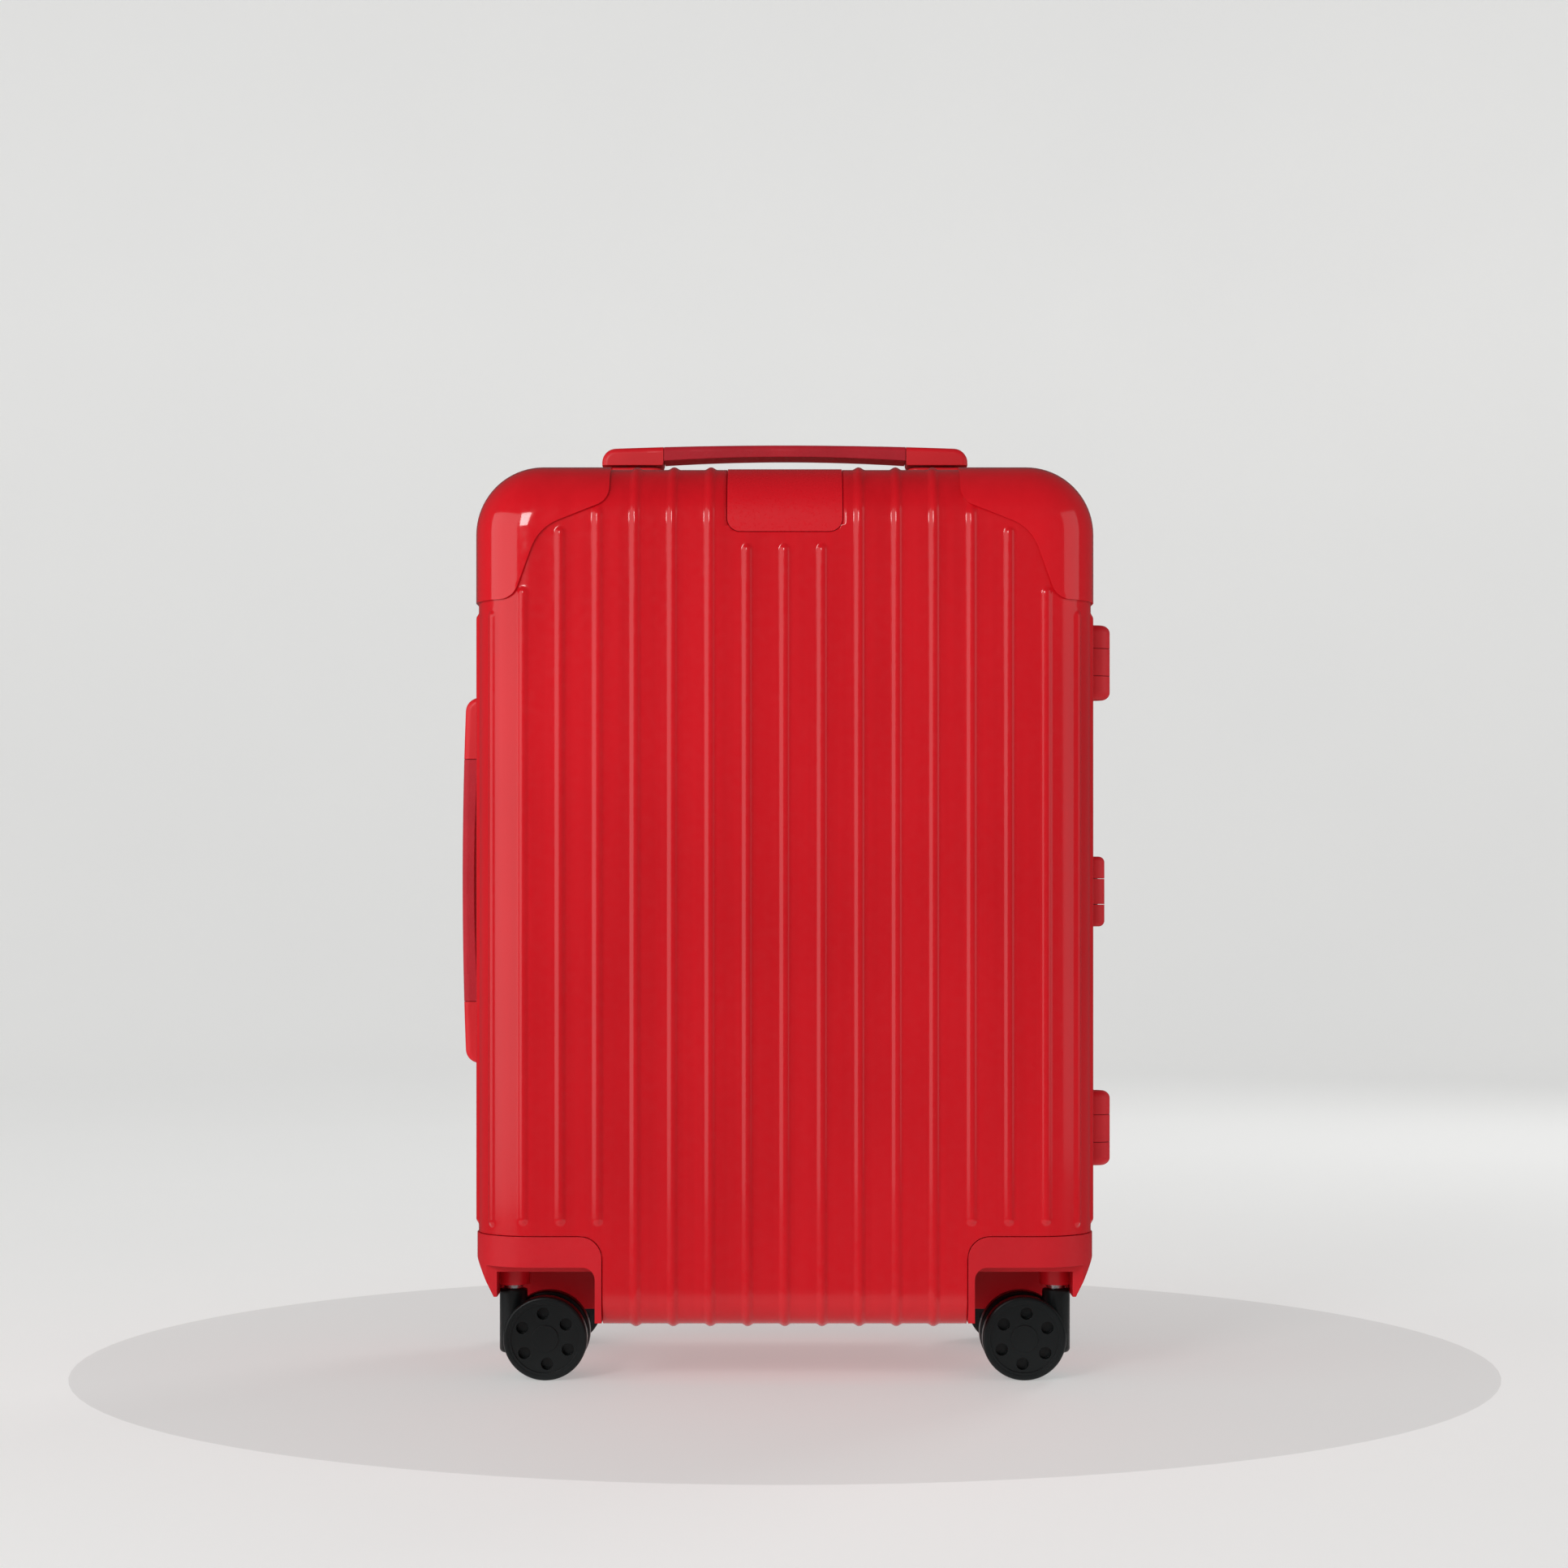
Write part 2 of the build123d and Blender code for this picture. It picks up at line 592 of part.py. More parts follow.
def wheel(side):
    """One wheel of the right-hand front caster, a hub disc with a soft tread bonded round it.
    side is -1 for the outer wheel, nearer the front, and 1 for the inner one."""
    face = WHEEL_IN + WHEEL_W
    plane = Plane(origin=(WHEEL_X, -SWIVEL_Y, WHEEL_R), x_dir=(1, 0, 0), z_dir=(0, side, 0))
    turn = -side * HOLE_TURN
    with BuildPart() as hub:
        with BuildSketch(plane.offset(WHEEL_IN)):
            Circle(RIM_R)
        extrude(amount=WHEEL_W - FACE_SINK)
        with BuildSketch(plane.offset(face - FACE_SINK)):
            Circle(RIM_R)
            Circle(RIM_R - 1.6, mode=Mode.SUBTRACT)
            Circle(7.6)
        extrude(amount=FACE_SINK - 0.1)
        with BuildSketch(plane.offset(face)):
            with PolarLocations(HOLE_RING, 6, start_angle=turn):
                Circle(HOLE_R)
        extrude(amount=-6, mode=Mode.SUBTRACT)
        with BuildSketch(plane.offset(WHEEL_IN)):
            Circle(AXLE_R + RUNNING)
        extrude(amount=AXLE_IN_WHEEL + GAP, mode=Mode.SUBTRACT)
    with BuildPart() as tread:
        with BuildSketch(plane.offset(WHEEL_IN)):
            Circle(WHEEL_R)
            Circle(RIM_R, mode=Mode.SUBTRACT)
        extrude(amount=WHEEL_W)
        rims = tread.edges().filter_by(GeomType.CIRCLE)
        fillet(rims.filter_by(lambda e: e.radius > WHEEL_R - 0.1), 1.6)
    return group(hub.part, tread.part)


CORNERS = {
    "front_right": lambda part: part,
    "front_left": left,
    "rear_right": rear,
    "rear_left": lambda part: rear(left(part)),
}
wheels = {"outer": wheel(-1), "inner": wheel(1)}
for corner, place in CORNERS.items():
    save(place(fork.part), f"{corner}_fork")
    save(place(axle.part), f"{corner}_axle")
    for name, solids in wheels.items():
        save(place(solids), f"{corner}_{name}_wheel")

save(group(kingpin.part, left(kingpin.part)), "front_kingpins")
save(group(rear(kingpin.part), rear(left(kingpin.part))), "rear_kingpins")
save(group(race.part, left(race.part)), "front_swivel_bearings")
save(group(rear(race.part), rear(left(race.part))), "rear_swivel_bearings")


# ---- side hinges --------------------------------------------------------------------------------
LEAF_X = (HALF_W, HALF_W + 2.0)
LEAF_Y = (FLANGE + 0.2, 17.4)
KNUCKLE = 0.36              # the front leaf's knuckle takes this share of a hinge's height


def knuckle(z, radius, round_end=None):
    """A barrel with the arm and plate that carry it, on the rear half's side of the hinge line."""
    with BuildPart() as part:
        post(HINGE_X, 0, z, radius)
        if round_end is not None:
            ends = part.edges().filter_by(GeomType.CIRCLE).group_by(Axis.Z)
            fillet(ends[round_end], min(5.0, radius - PIN_R - 0.5))
        block((HALF_W, HINGE_X), (LEAF_Y[0], min(radius, 7.9)), z)
        block(LEAF_X, LEAF_Y, z)
        block((REACH, FAR), (-FAR, FAR), z, mode=Mode.SUBTRACT)
        post(HINGE_X, 0, z, PIN_R + RUNNING, mode=Mode.SUBTRACT)
    return part.part


rear_leaves, front_leaves, hinge_pins = [], [], []
for z, half, radius in HINGES:
    mid = half * KNUCKLE
    rear_leaves.append(knuckle((z - half, z - mid - GAP), radius, 0))
    rear_leaves.append(knuckle((z + mid + GAP, z + half), radius, -1))
    front_leaves.append(rear(knuckle((z - mid, z + mid), radius)))
    with BuildPart() as hinge_pin:
        post(HINGE_X, 0, (z - half + 1.5, z + half - 1.5), PIN_R)
    hinge_pins.append(hinge_pin.part)
save(group(*rear_leaves), "hinge_rear_leaves")
save(group(*front_leaves), "hinge_front_leaves")
save(group(*hinge_pins), "hinge_pins")


# ---- carry handles ------------------------------------------------------------------------------
BAR_THICK = 10.0
BOW = 2.3                   # the middle of the grip stands this much prouder than the ends
GRIP_HALF = 73.0
GRIP_LOW = 2.6              # the grip's underside, above the underside of the ends
LEG_R = 3.5
BAR_GAP = 1.6               # from the pedestals to the ends of the bar
TOP_BAR_Z = TOTAL_TOP - BAR_THICK - BOW
SIDE_BAR_X = REACH - BAR_THICK - BOW
CORE = ((-GRIP_HALF - 8, GRIP_HALF + 8), (-7, 7), (6.0, 9.4))

with BuildPart() as handle_body:
    with BuildSketch(Plane.XZ.offset(-BAR_WIDE / 2)) as handle_outline:
        with BuildLine():
            Polyline((HANDLE_HALF, BAR_THICK), (HANDLE_HALF, 0), (GRIP_HALF + 1, 0), (GRIP_HALF, GRIP_LOW))
            ThreePointArc((GRIP_HALF, GRIP_LOW), (0, GRIP_LOW + BOW), (-GRIP_HALF, GRIP_LOW))
            Polyline(
                (-HANDLE_HALF, BAR_THICK), (-HANDLE_HALF, 0), (-GRIP_HALF - 1, 0), (-GRIP_HALF, GRIP_LOW)
            )
            ThreePointArc((-HANDLE_HALF, BAR_THICK), (0, BAR_THICK + BOW), (HANDLE_HALF, BAR_THICK))
        make_face()
        for end in (0, -1):
            fillet(handle_outline.vertices().group_by(Axis.X)[end].sort_by(Axis.Y)[-1], 8.5)
    extrude(amount=BAR_WIDE)
    long_arcs = handle_body.edges().filter_by(GeomType.CIRCLE).filter_by(lambda e: e.radius > 50)
    fillet(long_arcs.filter_by(lambda e: (e @ 0.5).Z > BAR_THICK), 3.5)

with BuildPart() as handle_grip:
    add(handle_body.part)
    block((-GRIP_HALF, GRIP_HALF), (-BAR_WIDE, BAR_WIDE), (0, 30), mode=Mode.INTERSECT)
    block(*CORE, mode=Mode.SUBTRACT)


def handle_bar(leg):
    """A carry handle's two ends, the core that joins them and the legs that slide in the sleeves."""
    with BuildPart() as bar:
        add(handle_body.part)
        reach = GRIP_HALF + GAP
        block((-reach, reach), (-BAR_WIDE, BAR_WIDE), (-1, 30), mode=Mode.SUBTRACT)
        block(*CORE)
        for x in (-SLEEVE_X, SLEEVE_X):
            post(x, 0, (-leg, 1), LEG_R)
    return bar.part


def handle_base(height):
    """Two pedestals with sleeves that a carry handle slides in; the skin is at Z = 0."""
    with BuildPart() as base:
        for side in (-1, 1):
            with BuildSketch():
                with Locations((side * sum(PEDESTAL) / 2, 0)):
                    RectangleRounded(PEDESTAL[1] - PEDESTAL[0], BAR_WIDE + 2, 6)
            extrude(amount=height)
        fillet(base.faces().filter_by(Axis.Z).group_by(Axis.Z)[-1].edges(), 1.2)
        for x in (-SLEEVE_X, SLEEVE_X):
            post(x, 0, (-SLEEVE_DEEP, 0), SLEEVE_R)
            post(x, 0, (-SLEEVE_DEEP, height), LEG_R + RUNNING, mode=Mode.SUBTRACT)
    return base.part


top_height, side_height = TOP_BAR_Z - BAR_GAP - BODY_TOP, SIDE_BAR_X - BAR_GAP - HALF_W
leg_below_skin = SLEEVE_DEEP - 2
save(on_top(handle_bar(leg_below_skin + top_height + BAR_GAP), TOP_BAR_Z), "top_handle_bar")
save(on_top(handle_grip.part, TOP_BAR_Z), "top_handle_grip")
save(on_side(handle_bar(leg_below_skin + side_height + BAR_GAP), SIDE_BAR_X), "side_handle_bar")
save(on_side(handle_grip.part, SIDE_BAR_X), "side_handle_grip")
top_base = on_top(handle_base(top_height), BODY_TOP)
side_base = on_side(handle_base(side_height), HALF_W)
save(group(top_base, side_base), "handle_bases")


# ---- latches ------------------------------------------------------------------------------------
LATCH_OUT = HALF_W + 3.8
LATCH_IN = HALF_W - 12
DIAL_R, DIAL_W, DIAL_PROUD = 6.4, 5.0, 1.0
DIAL_X, DIAL_Y = -(LATCH_OUT + DIAL_PROUD - DIAL_R), -29.0
DIAL_OFFSETS = (-9.0, 0.0, 9.0)
DIAL_PIN_R = 1.2
PIVOT_X, PIVOT_Y = -(LATCH_OUT - 1.0), -19.0
LEVER_X = (-(LATCH_OUT + 1.6), -(LATCH_OUT - 1.4))
LEVER_END = 12.0
LEVER_HALF = 16.0
LEVER_R, LEVER_PIN_R = 2.2, 1.2
LEVER_PIN_LONG = 38.0


def latch_base(z):
    """A latch's body in the front half's left side, with the dials' axle and room for the lever."""
    pin_z = (z - LEVER_PIN_LONG / 2, z + LEVER_PIN_LONG / 2)
    with BuildPart() as base:
        block((-LATCH_OUT, -HALF_W), (LATCH_FRONT, LATCH_BACK), (z - LATCH_HALF, z + LATCH_HALF))
        fillet(base.edges().filter_by(Axis.X), 3)
        box_y = (LATCH_FRONT + 1, -FRAME_DEEP - GAP)
        block((-HALF_W - 1, -LATCH_IN), box_y, (z - LATCH_SLOT, z + LATCH_SLOT))
        recess_z = (z - LEVER_HALF - CLEAR, z + LEVER_HALF + CLEAR)
        block((-REACH, -LATCH_OUT + 2.8), (PIVOT_Y - 3.2, 0), recess_z, mode=Mode.SUBTRACT)
        post(PIVOT_X, PIVOT_Y, recess_z, LEVER_R + CLEAR, mode=Mode.SUBTRACT)
        post(PIVOT_X, PIVOT_Y, pin_z, LEVER_PIN_R, mode=Mode.SUBTRACT)
        for dz in DIAL_OFFSETS:
            slot_z = (z + dz - DIAL_W / 2 - GAP, z + dz + DIAL_W / 2 + GAP)
            post(DIAL_X, DIAL_Y, slot_z, DIAL_R + CLEAR, mode=Mode.SUBTRACT)
        post(DIAL_X, DIAL_Y, (z - LATCH_SLOT + 3, z + LATCH_SLOT - 3), DIAL_PIN_R)
    return base.part


def latch_pin(z):
    """The pin that a latch lever turns on."""
    with BuildPart() as pin:
        post(PIVOT_X, PIVOT_Y, (z - LEVER_PIN_LONG / 2, z + LEVER_PIN_LONG / 2), LEVER_PIN_R)
    return pin.part


def latch_lever(z):
    """The flap that swings out to free the case, reaching over the seam and the striker."""
    lever_z = (z - LEVER_HALF, z + LEVER_HALF)
    with BuildPart() as lever:
        block(LEVER_X, (PIVOT_Y, LEVER_END), lever_z)
        fillet(lever.edges().filter_by(Axis.X).group_by(Axis.Y)[-1], 5)
        outer = lever.faces().sort_by(Axis.X)[0].edges()
        fillet(outer.filter_by(lambda e: e.center().Y > PIVOT_Y + 1), 1.0)
        post(PIVOT_X, PIVOT_Y, lever_z, LEVER_R)
        post(PIVOT_X, PIVOT_Y, lever_z, LEVER_PIN_R + RUNNING, mode=Mode.SUBTRACT)
    return lever.part


def dial(z):
    """One combination ring, with ten finger grooves."""
    dial_z = (z - DIAL_W / 2, z + DIAL_W / 2)
    with BuildPart() as ring:
        post(DIAL_X, DIAL_Y, dial_z, DIAL_R)
        post(DIAL_X, DIAL_Y, dial_z, DIAL_PIN_R + RUNNING, mode=Mode.SUBTRACT)
        with Locations((DIAL_X, DIAL_Y, z)):
            with PolarLocations(DIAL_R + 0.3, 10):
                Cylinder(0.7, DIAL_W, mode=Mode.SUBTRACT)
    return ring.part


def striker(z):
    """The plate on the rear half that a latch lever closes onto."""
    with BuildPart() as plate:
        block((-HALF_W - 1.8, -HALF_W), (FLANGE + 0.3, 15.5), (z - LATCH_SLOT, z + LATCH_SLOT))
        fillet(plate.edges().filter_by(Axis.X), 2)
    return plate.part


save(group(*[latch_base(z) for z in LATCH_Z], *[latch_pin(z) for z in LATCH_Z]), "latch_bases")
save(group(*[striker(z) for z in LATCH_Z]), "latch_strikers")
for place, z in zip(("lower", "upper"), LATCH_Z):
    save(latch_lever(z), f"{place}_latch_lever")
    for number, dz in enumerate(DIAL_OFFSETS, 1):
        save(dial(z + dz), f"{place}_latch_dial_{number}")


# ---- trolley handle -----------------------------------------------------------------------------
TRAY = 2.0
TRAY_Z, TRAY_Y = BEZEL_Z + GAP + TRAY, BEZEL_Y + GAP + TRAY
TROLLEY_GRIP_X, TROLLEY_GRIP_Z = 100.0, 499.0
BUTTON_X, BUTTON_Y, BUTTON_Z = (-15.0, 15.0), (89.0, 96.0), (511.0, 518.5)
BUTTON_TRAVEL = 3.0
TUBE_WALL = 1.2
TUBES = {                   # stage: width, depth, low end, high end
    "outer": (22.0, 13.0, 44.0, TRAY_Z),
    "middle": (18.8, 9.8, 46.0, 488.0),
    "inner": (15.6, 6.6, 48.0, 508.0),
}


def tube_pair(stage, solid=False):
    """The two tubes of one stage of the trolley."""
    wide, deep, low, high = TUBES[stage]
    with BuildPart() as pair:
        with BuildSketch(Plane.XY.offset(low)):
            with Locations((-TUBE_X, TUBE_Y), (TUBE_X, TUBE_Y)):
                RectangleRounded(wide, deep, 2.6)
                if not solid:
                    RectangleRounded(wide - 2 * TUBE_WALL, deep - 2 * TUBE_WALL, 1.6, mode=Mode.SUBTRACT)
        extrude(amount=high - low)
    return pair.part


rear_block = rear(half_body(0))
outer_tubes, inner_tubes = tube_pair("outer", solid=True), tube_pair("inner", solid=True)
with BuildPart() as trolley_bezel:
    add(rear_block)
    bezel_x = BEZEL_X - GAP
    block((-bezel_x, bezel_x), (TRAY_Y - TRAY, FAR), (TRAY_Z - TRAY, FAR), mode=Mode.INTERSECT)
    tray_x = TROLLEY_GRIP_X + 1
    block((-tray_x, tray_x), (TRAY_Y, FAR), (TRAY_Z, FAR), mode=Mode.SUBTRACT)
    add(outer_tubes, mode=Mode.SUBTRACT)
trolley_bezel.part.label = "trolley_bezel"
export_step(trolley_bezel.part, "parts/trolley_bezel.step")

with BuildPart() as trolley_grip:
    add(rear_block)
    grip_x = (-TROLLEY_GRIP_X, TROLLEY_GRIP_X)
    block(grip_x, (TRAY_Y + 1.2, FAR), (TROLLEY_GRIP_Z, FAR), mode=Mode.INTERSECT)
    fillet(trolley_grip.edges().filter_by(Axis.Z), 4)
    add(inner_tubes, mode=Mode.SUBTRACT)
    pocket_x, pocket_y = (BUTTON_X[0] - GAP, BUTTON_X[1] + GAP), (BUTTON_Y[0] - GAP, BUTTON_Y[1] + GAP)
    block(pocket_x, pocket_y, (BUTTON_Z[0] - BUTTON_TRAVEL - 1, FAR), mode=Mode.SUBTRACT)
trolley_grip.part.label = "trolley_grip"
export_step(trolley_grip.part, "parts/trolley_grip.step")

with BuildPart() as trolley_button:
    block(BUTTON_X, BUTTON_Y, BUTTON_Z)
    fillet(trolley_button.edges().filter_by(Axis.Z), 2.5)
    fillet(trolley_button.faces().sort_by(Axis.Z)[-1].edges(), 1)
trolley_button.part.label = "trolley_button"
export_step(trolley_button.part, "parts/trolley_button.step")

for stage in TUBES:
    save(tube_pair(stage), f"trolley_{stage}_tubes")
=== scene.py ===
import math

import bmesh
import bpy
import numpy as np
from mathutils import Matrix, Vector, noise


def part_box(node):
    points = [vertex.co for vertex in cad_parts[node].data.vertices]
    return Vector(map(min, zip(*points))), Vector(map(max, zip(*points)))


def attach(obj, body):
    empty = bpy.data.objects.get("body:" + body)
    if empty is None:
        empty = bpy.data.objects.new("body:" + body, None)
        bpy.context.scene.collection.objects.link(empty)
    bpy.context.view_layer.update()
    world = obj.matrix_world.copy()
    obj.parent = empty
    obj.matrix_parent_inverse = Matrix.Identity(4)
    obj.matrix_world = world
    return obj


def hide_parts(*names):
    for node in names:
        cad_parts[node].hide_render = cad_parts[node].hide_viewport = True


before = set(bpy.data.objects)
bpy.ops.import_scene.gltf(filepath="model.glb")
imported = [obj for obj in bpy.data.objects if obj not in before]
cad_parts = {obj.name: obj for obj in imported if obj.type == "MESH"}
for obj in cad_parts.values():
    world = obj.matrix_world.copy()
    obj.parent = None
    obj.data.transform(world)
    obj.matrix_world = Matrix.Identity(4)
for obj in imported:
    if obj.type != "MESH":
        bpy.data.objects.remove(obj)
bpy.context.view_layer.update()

# A red ribbed hard shell cabin case. Meshes are worked out in millimetres and made in metres.
# "front" shapes face -Y and are mirrored in Y for the rear half.

# ---- sizes, given or read from the CAD parts ----------------------------------------------------
CREST = 1.5                 # how far ribs and caps stand proud of the plain skin
EDGE_R, CORNER_R, FLOOR_R = 34.0, 37.5, 15.0
WALL = 2.2
PITCH = 21.15
RIB_HALF = 3.7              # half width of a rib's bell-shaped section
GAP = 0.3
SEAM = 3.2                  # where the shells end, behind the frames' rims


def box_mm(node):
    low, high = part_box(node)
    return Vector(low) * 1000, Vector(high) * 1000


shell_low, shell_high = box_mm("front_shell")
housing_low, housing_high = box_mm("front_right_wheel_housing")
badge_low, badge_high = box_mm("badge_plate")
bezel_low, bezel_high = box_mm("trolley_bezel")
HALF_W = shell_high.x - CREST
HALF_D = -shell_low.y - CREST
TOP = shell_high.z - CREST
BOTTOM = shell_low.z + CREST
FLAT_X = HALF_W - EDGE_R
FLAT_Y = HALF_D - EDGE_R
HOUSING_X = housing_low.x - GAP
HOUSING_TOP = housing_high.z + GAP
HOUSING_TURN = 12.5 + GAP
CORNER_X, CORNER_Z = HALF_W - CORNER_R, TOP - CORNER_R


# ---- small helpers ------------------------------------------------------------------------------
def mesh_object(name, points, faces, material, smooth=True):
    """A mesh object from millimetre points and faces."""
    data = bpy.data.meshes.new(name)
    data.from_pydata([tuple(0.001 * c for c in p) for p in points], [], faces)
    data.validate()
    obj = bpy.data.objects.new(name, data)
    bpy.context.scene.collection.objects.link(obj)
    data.materials.append(material)
    if smooth:
        data.shade_smooth()
    return obj


def apply_modifiers(obj):
    """Bakes the object's modifiers into its mesh."""
    graph = bpy.context.evaluated_depsgraph_get()
    graph.update()
    data = bpy.data.meshes.new_from_object(obj.evaluated_get(graph))
    obj.modifiers.clear()
    old, obj.data = obj.data, data
    bpy.data.meshes.remove(old)


def spaced(*stops):
    """Values from stop to stop, each stop given as (value, step after it)."""
    values = [stops[0][0]]
    for (start, step), (end, _) in zip(stops, stops[1:]):
        count = max(1, round(abs(end - start) / step))
        values += [start + (end - start) * i / count for i in range(1, count + 1)]
    return values


def finish_piece(obj, body, slot, *nodes):
    """Puts a piece on its body and hides the CAD parts it stands in for."""
    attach(obj, body)
    if nodes:
        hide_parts(*nodes)


# ---- materials ----------------------------------------------------------------------------------
class Look:
    """A Principled material, with shorthand for the texture nodes that give it detail."""

    def __init__(self, name, roughness, **sockets):
        self.material = bpy.data.materials.new(name)
        self.material.use_nodes = True
        self.tree = self.material.node_tree
        self.shader = self.tree.nodes["Principled BSDF"]
        self.shader.inputs["Roughness"].default_value = roughness
        for socket, value in sockets.items():
            self.shader.inputs[socket.replace("_", " ")].default_value = value
        self.coordinates = self.add("ShaderNodeTexCoord").outputs["Object"]
        self.normal = None

    def add(self, kind, **inputs):
        node = self.tree.nodes.new(kind)
        for name, value in inputs.items():
            socket = node.inputs[name.replace("_", " ")]
            if isinstance(value, bpy.types.NodeSocket):
                self.tree.links.new(value, socket)
            else:
                socket.default_value = value
        return node

    def noise(self, scale, detail=3.0, stretch=(1, 1, 1), rough=0.5):
        """A grey noise, stretched along the object's axes."""
        place = self.add("ShaderNodeMapping", Vector=self.coordinates, Scale=stretch)
        node = self.add("ShaderNodeTexNoise", Vector=place.outputs[0], Scale=scale, Detail=detail,
                        Roughness=rough)
        return node.outputs["Fac"]

    def range(self, value, low, high, start=0.3, end=0.7):
        """A value spread from start..end to low..high."""
        node = self.add("ShaderNodeMapRange", Value=value)
        for socket, number in zip(("From Min", "From Max", "To Min", "To Max"), (start, end, low, high)):
            node.inputs[socket].default_value = number
        return node.outputs[0]

    def math(self, kind, a, b=0.0):
        node = self.tree.nodes.new("ShaderNodeMath")
        node.operation = kind
        for socket, value in zip(node.inputs, (a, b)):
            if isinstance(value, bpy.types.NodeSocket):
                self.tree.links.new(value, socket)
            else:
                socket.default_value = value
        return node.outputs[0]

    def colour(self, dark, light, factor):
        """The base colour, mixed between two by a texture."""
        node = self.tree.nodes.new("ShaderNodeMix")
        node.data_type = "RGBA"
        colours = [s for s in node.inputs if s.type == "RGBA"]
        colours[0].default_value = (*dark, 1)
        colours[1].default_value = (*light, 1)
        self.tree.links.new(factor, node.inputs["Factor"])
        result = [s for s in node.outputs if s.type == "RGBA"][0]
        self.tree.links.new(result, self.shader.inputs["Base Color"])

    def roughness(self, value):
        self.tree.links.new(value, self.shader.inputs["Roughness"])

    def bevel(self, radius):
        """Rounds the sharp edges in the shading."""
        node = self.add("ShaderNodeBevel", Radius=radius * 0.001)
        node.samples = 4
        self.normal = node.outputs[0]

    def bump(self, height, depth, strength=1.0):
        """Relief of so many millimetres, on top of what is there."""
        node = self.add("ShaderNodeBump", Height=height, Distance=depth * 0.001, Strength=strength)
        if self.normal:
            self.tree.links.new(self.normal, node.inputs["Normal"])
        self.normal = node.outputs[0]

    def done(self):
        if self.normal:
            self.tree.links.new(self.normal, self.shader.inputs["Normal"])
        return self.material


def gloss_shell(name, dark, light, roughness, coat):
    """Gloss polycarbonate: a faint orange peel, faint upright draw lines and a little haze."""
    look = Look(name, roughness, IOR=1.5, Specular_IOR_Level=0.36, Coat_Weight=coat, Coat_Roughness=0.06)
    streaks = look.noise(70, 4, (1, 1, 0.012), 0.6)
    clouds = look.noise(5, 2)
    look.colour(dark, light, look.range(look.math("ADD", streaks, clouds), 0, 1, 0.75, 1.25))
    look.roughness(look.range(look.noise(240, 3), roughness - 0.03, roughness + 0.05))
    look.bump(look.noise(700, 2), 0.006, 0.5)
    look.bump(streaks, 0.012, 0.35)
    return look.done()


def satin_plastic(name, dark, light, roughness=0.36, grain=0.03, bevel=0.5):
    """Moulded plastic with a fine spark-eroded grain and softened edges."""
    look = Look(name, roughness, IOR=1.48, Specular_IOR_Level=0.32)
    if bevel:
        look.bevel(bevel)
    look.colour(dark, light, look.range(look.noise(18, 4), 0, 1))
    look.roughness(look.range(look.noise(500, 3), roughness - 0.06, roughness + 0.07))
    look.bump(look.noise(2600, 2), grain, 0.6)
    return look.done()


def soft_grip(name, dark, light):
    """Soft-touch rubber, pebbled like fine leather."""
    look = Look(name, 0.55, IOR=1.45, Specular_IOR_Level=0.3, Sheen_Weight=0.05, Sheen_Roughness=0.5)
    look.bevel(0.8)
    cells = look.add("ShaderNodeTexVoronoi", Vector=look.coordinates, Scale=1300.0)
    look.colour(dark, light, look.range(look.noise(30, 4), 0, 1))
    look.roughness(look.range(look.noise(400, 3), 0.48, 0.66))
    look.bump(cells.outputs["Distance"], 0.10, 0.7)
    return look.done()


def metal(name, dark, light, roughness, stretch, bevel=0.2):
    """Brushed metal, its brushing drawn out along one axis."""
    look = Look(name, roughness, Metallic=1.0)
    look.bevel(bevel)
    lines = look.noise(900, 4, stretch, 0.7)
    look.colour(dark, light, look.range(lines, 0, 1))
    look.roughness(look.range(lines, roughness - 0.08, roughness + 0.10))
    look.bump(lines, 0.01, 0.4)
    return look.done()


def woven(name, dark, light, pitch, relief, sheen=0.3):
    """A plain weave: two crossing sets of threads, with uneven yarn."""
    look = Look(name, 0.85, Sheen_Weight=sheen, Sheen_Roughness=0.4, IOR=1.4)
    parts = look.add("ShaderNodeSeparateXYZ", Vector=look.coordinates)
    turns = 2000 * math.pi / pitch
    across = look.math("SINE", look.math("MULTIPLY", parts.outputs["X"], turns))
    along = look.math("SINE", look.math("MULTIPLY", parts.outputs["Z"], turns))
    weave = look.math("MULTIPLY", across, along)
    yarn = look.noise(900, 3, (1, 1, 0.3))
    shade = look.math("ADD", weave, look.math("MULTIPLY", yarn, 0.8))
    look.colour(dark, light, look.range(shade, 0, 1, -0.6, 1.4))
    look.bump(weave, relief, 0.8)
    look.bump(look.noise(90, 3), 0.4, 0.25)
    return look.done()


SHELL = gloss_shell("shell_polycarbonate", (0.565, 0.0052, 0.0112), (0.665, 0.0075, 0.0150), 0.16, 0.30)
CAP = gloss_shell("cap_polycarbonate", (0.620, 0.0060, 0.0125), (0.690, 0.0078, 0.0155), 0.12, 0.5)
BADGE = satin_plastic(
    "badge_polycarbonate", (0.625, 0.0075, 0.0150), (0.670, 0.0090, 0.0170), 0.30, 0.004, 0
)
HOUSING = satin_plastic("housing_plastic", (0.56, 0.0065, 0.0140), (0.64, 0.0085, 0.0175), 0.34)
HANDLE = satin_plastic("handle_plastic", (0.66, 0.0110, 0.0190), (0.75, 0.0150, 0.0245), 0.38)
HINGE = satin_plastic("hinge_plastic", (0.62, 0.0110, 0.0200), (0.71, 0.0150, 0.0260), 0.40)
FRAME = satin_plastic("frame_enamel", (0.44, 0.007, 0.014), (0.52, 0.009, 0.018), 0.30, 0.015, 0.3)
GRIP = soft_grip("grip_rubber", (0.46, 0.0110, 0.0230), (0.56, 0.0150, 0.0300))
SEAL = soft_grip("seal_rubber", (0.020, 0.005, 0.006), (0.035, 0.008, 0.010))
NYLON = satin_plastic("wheel_nylon", (0.0022, 0.0036, 0.0038), (0.0052, 0.0076, 0.0082), 0.34, 0.04, 0.4)
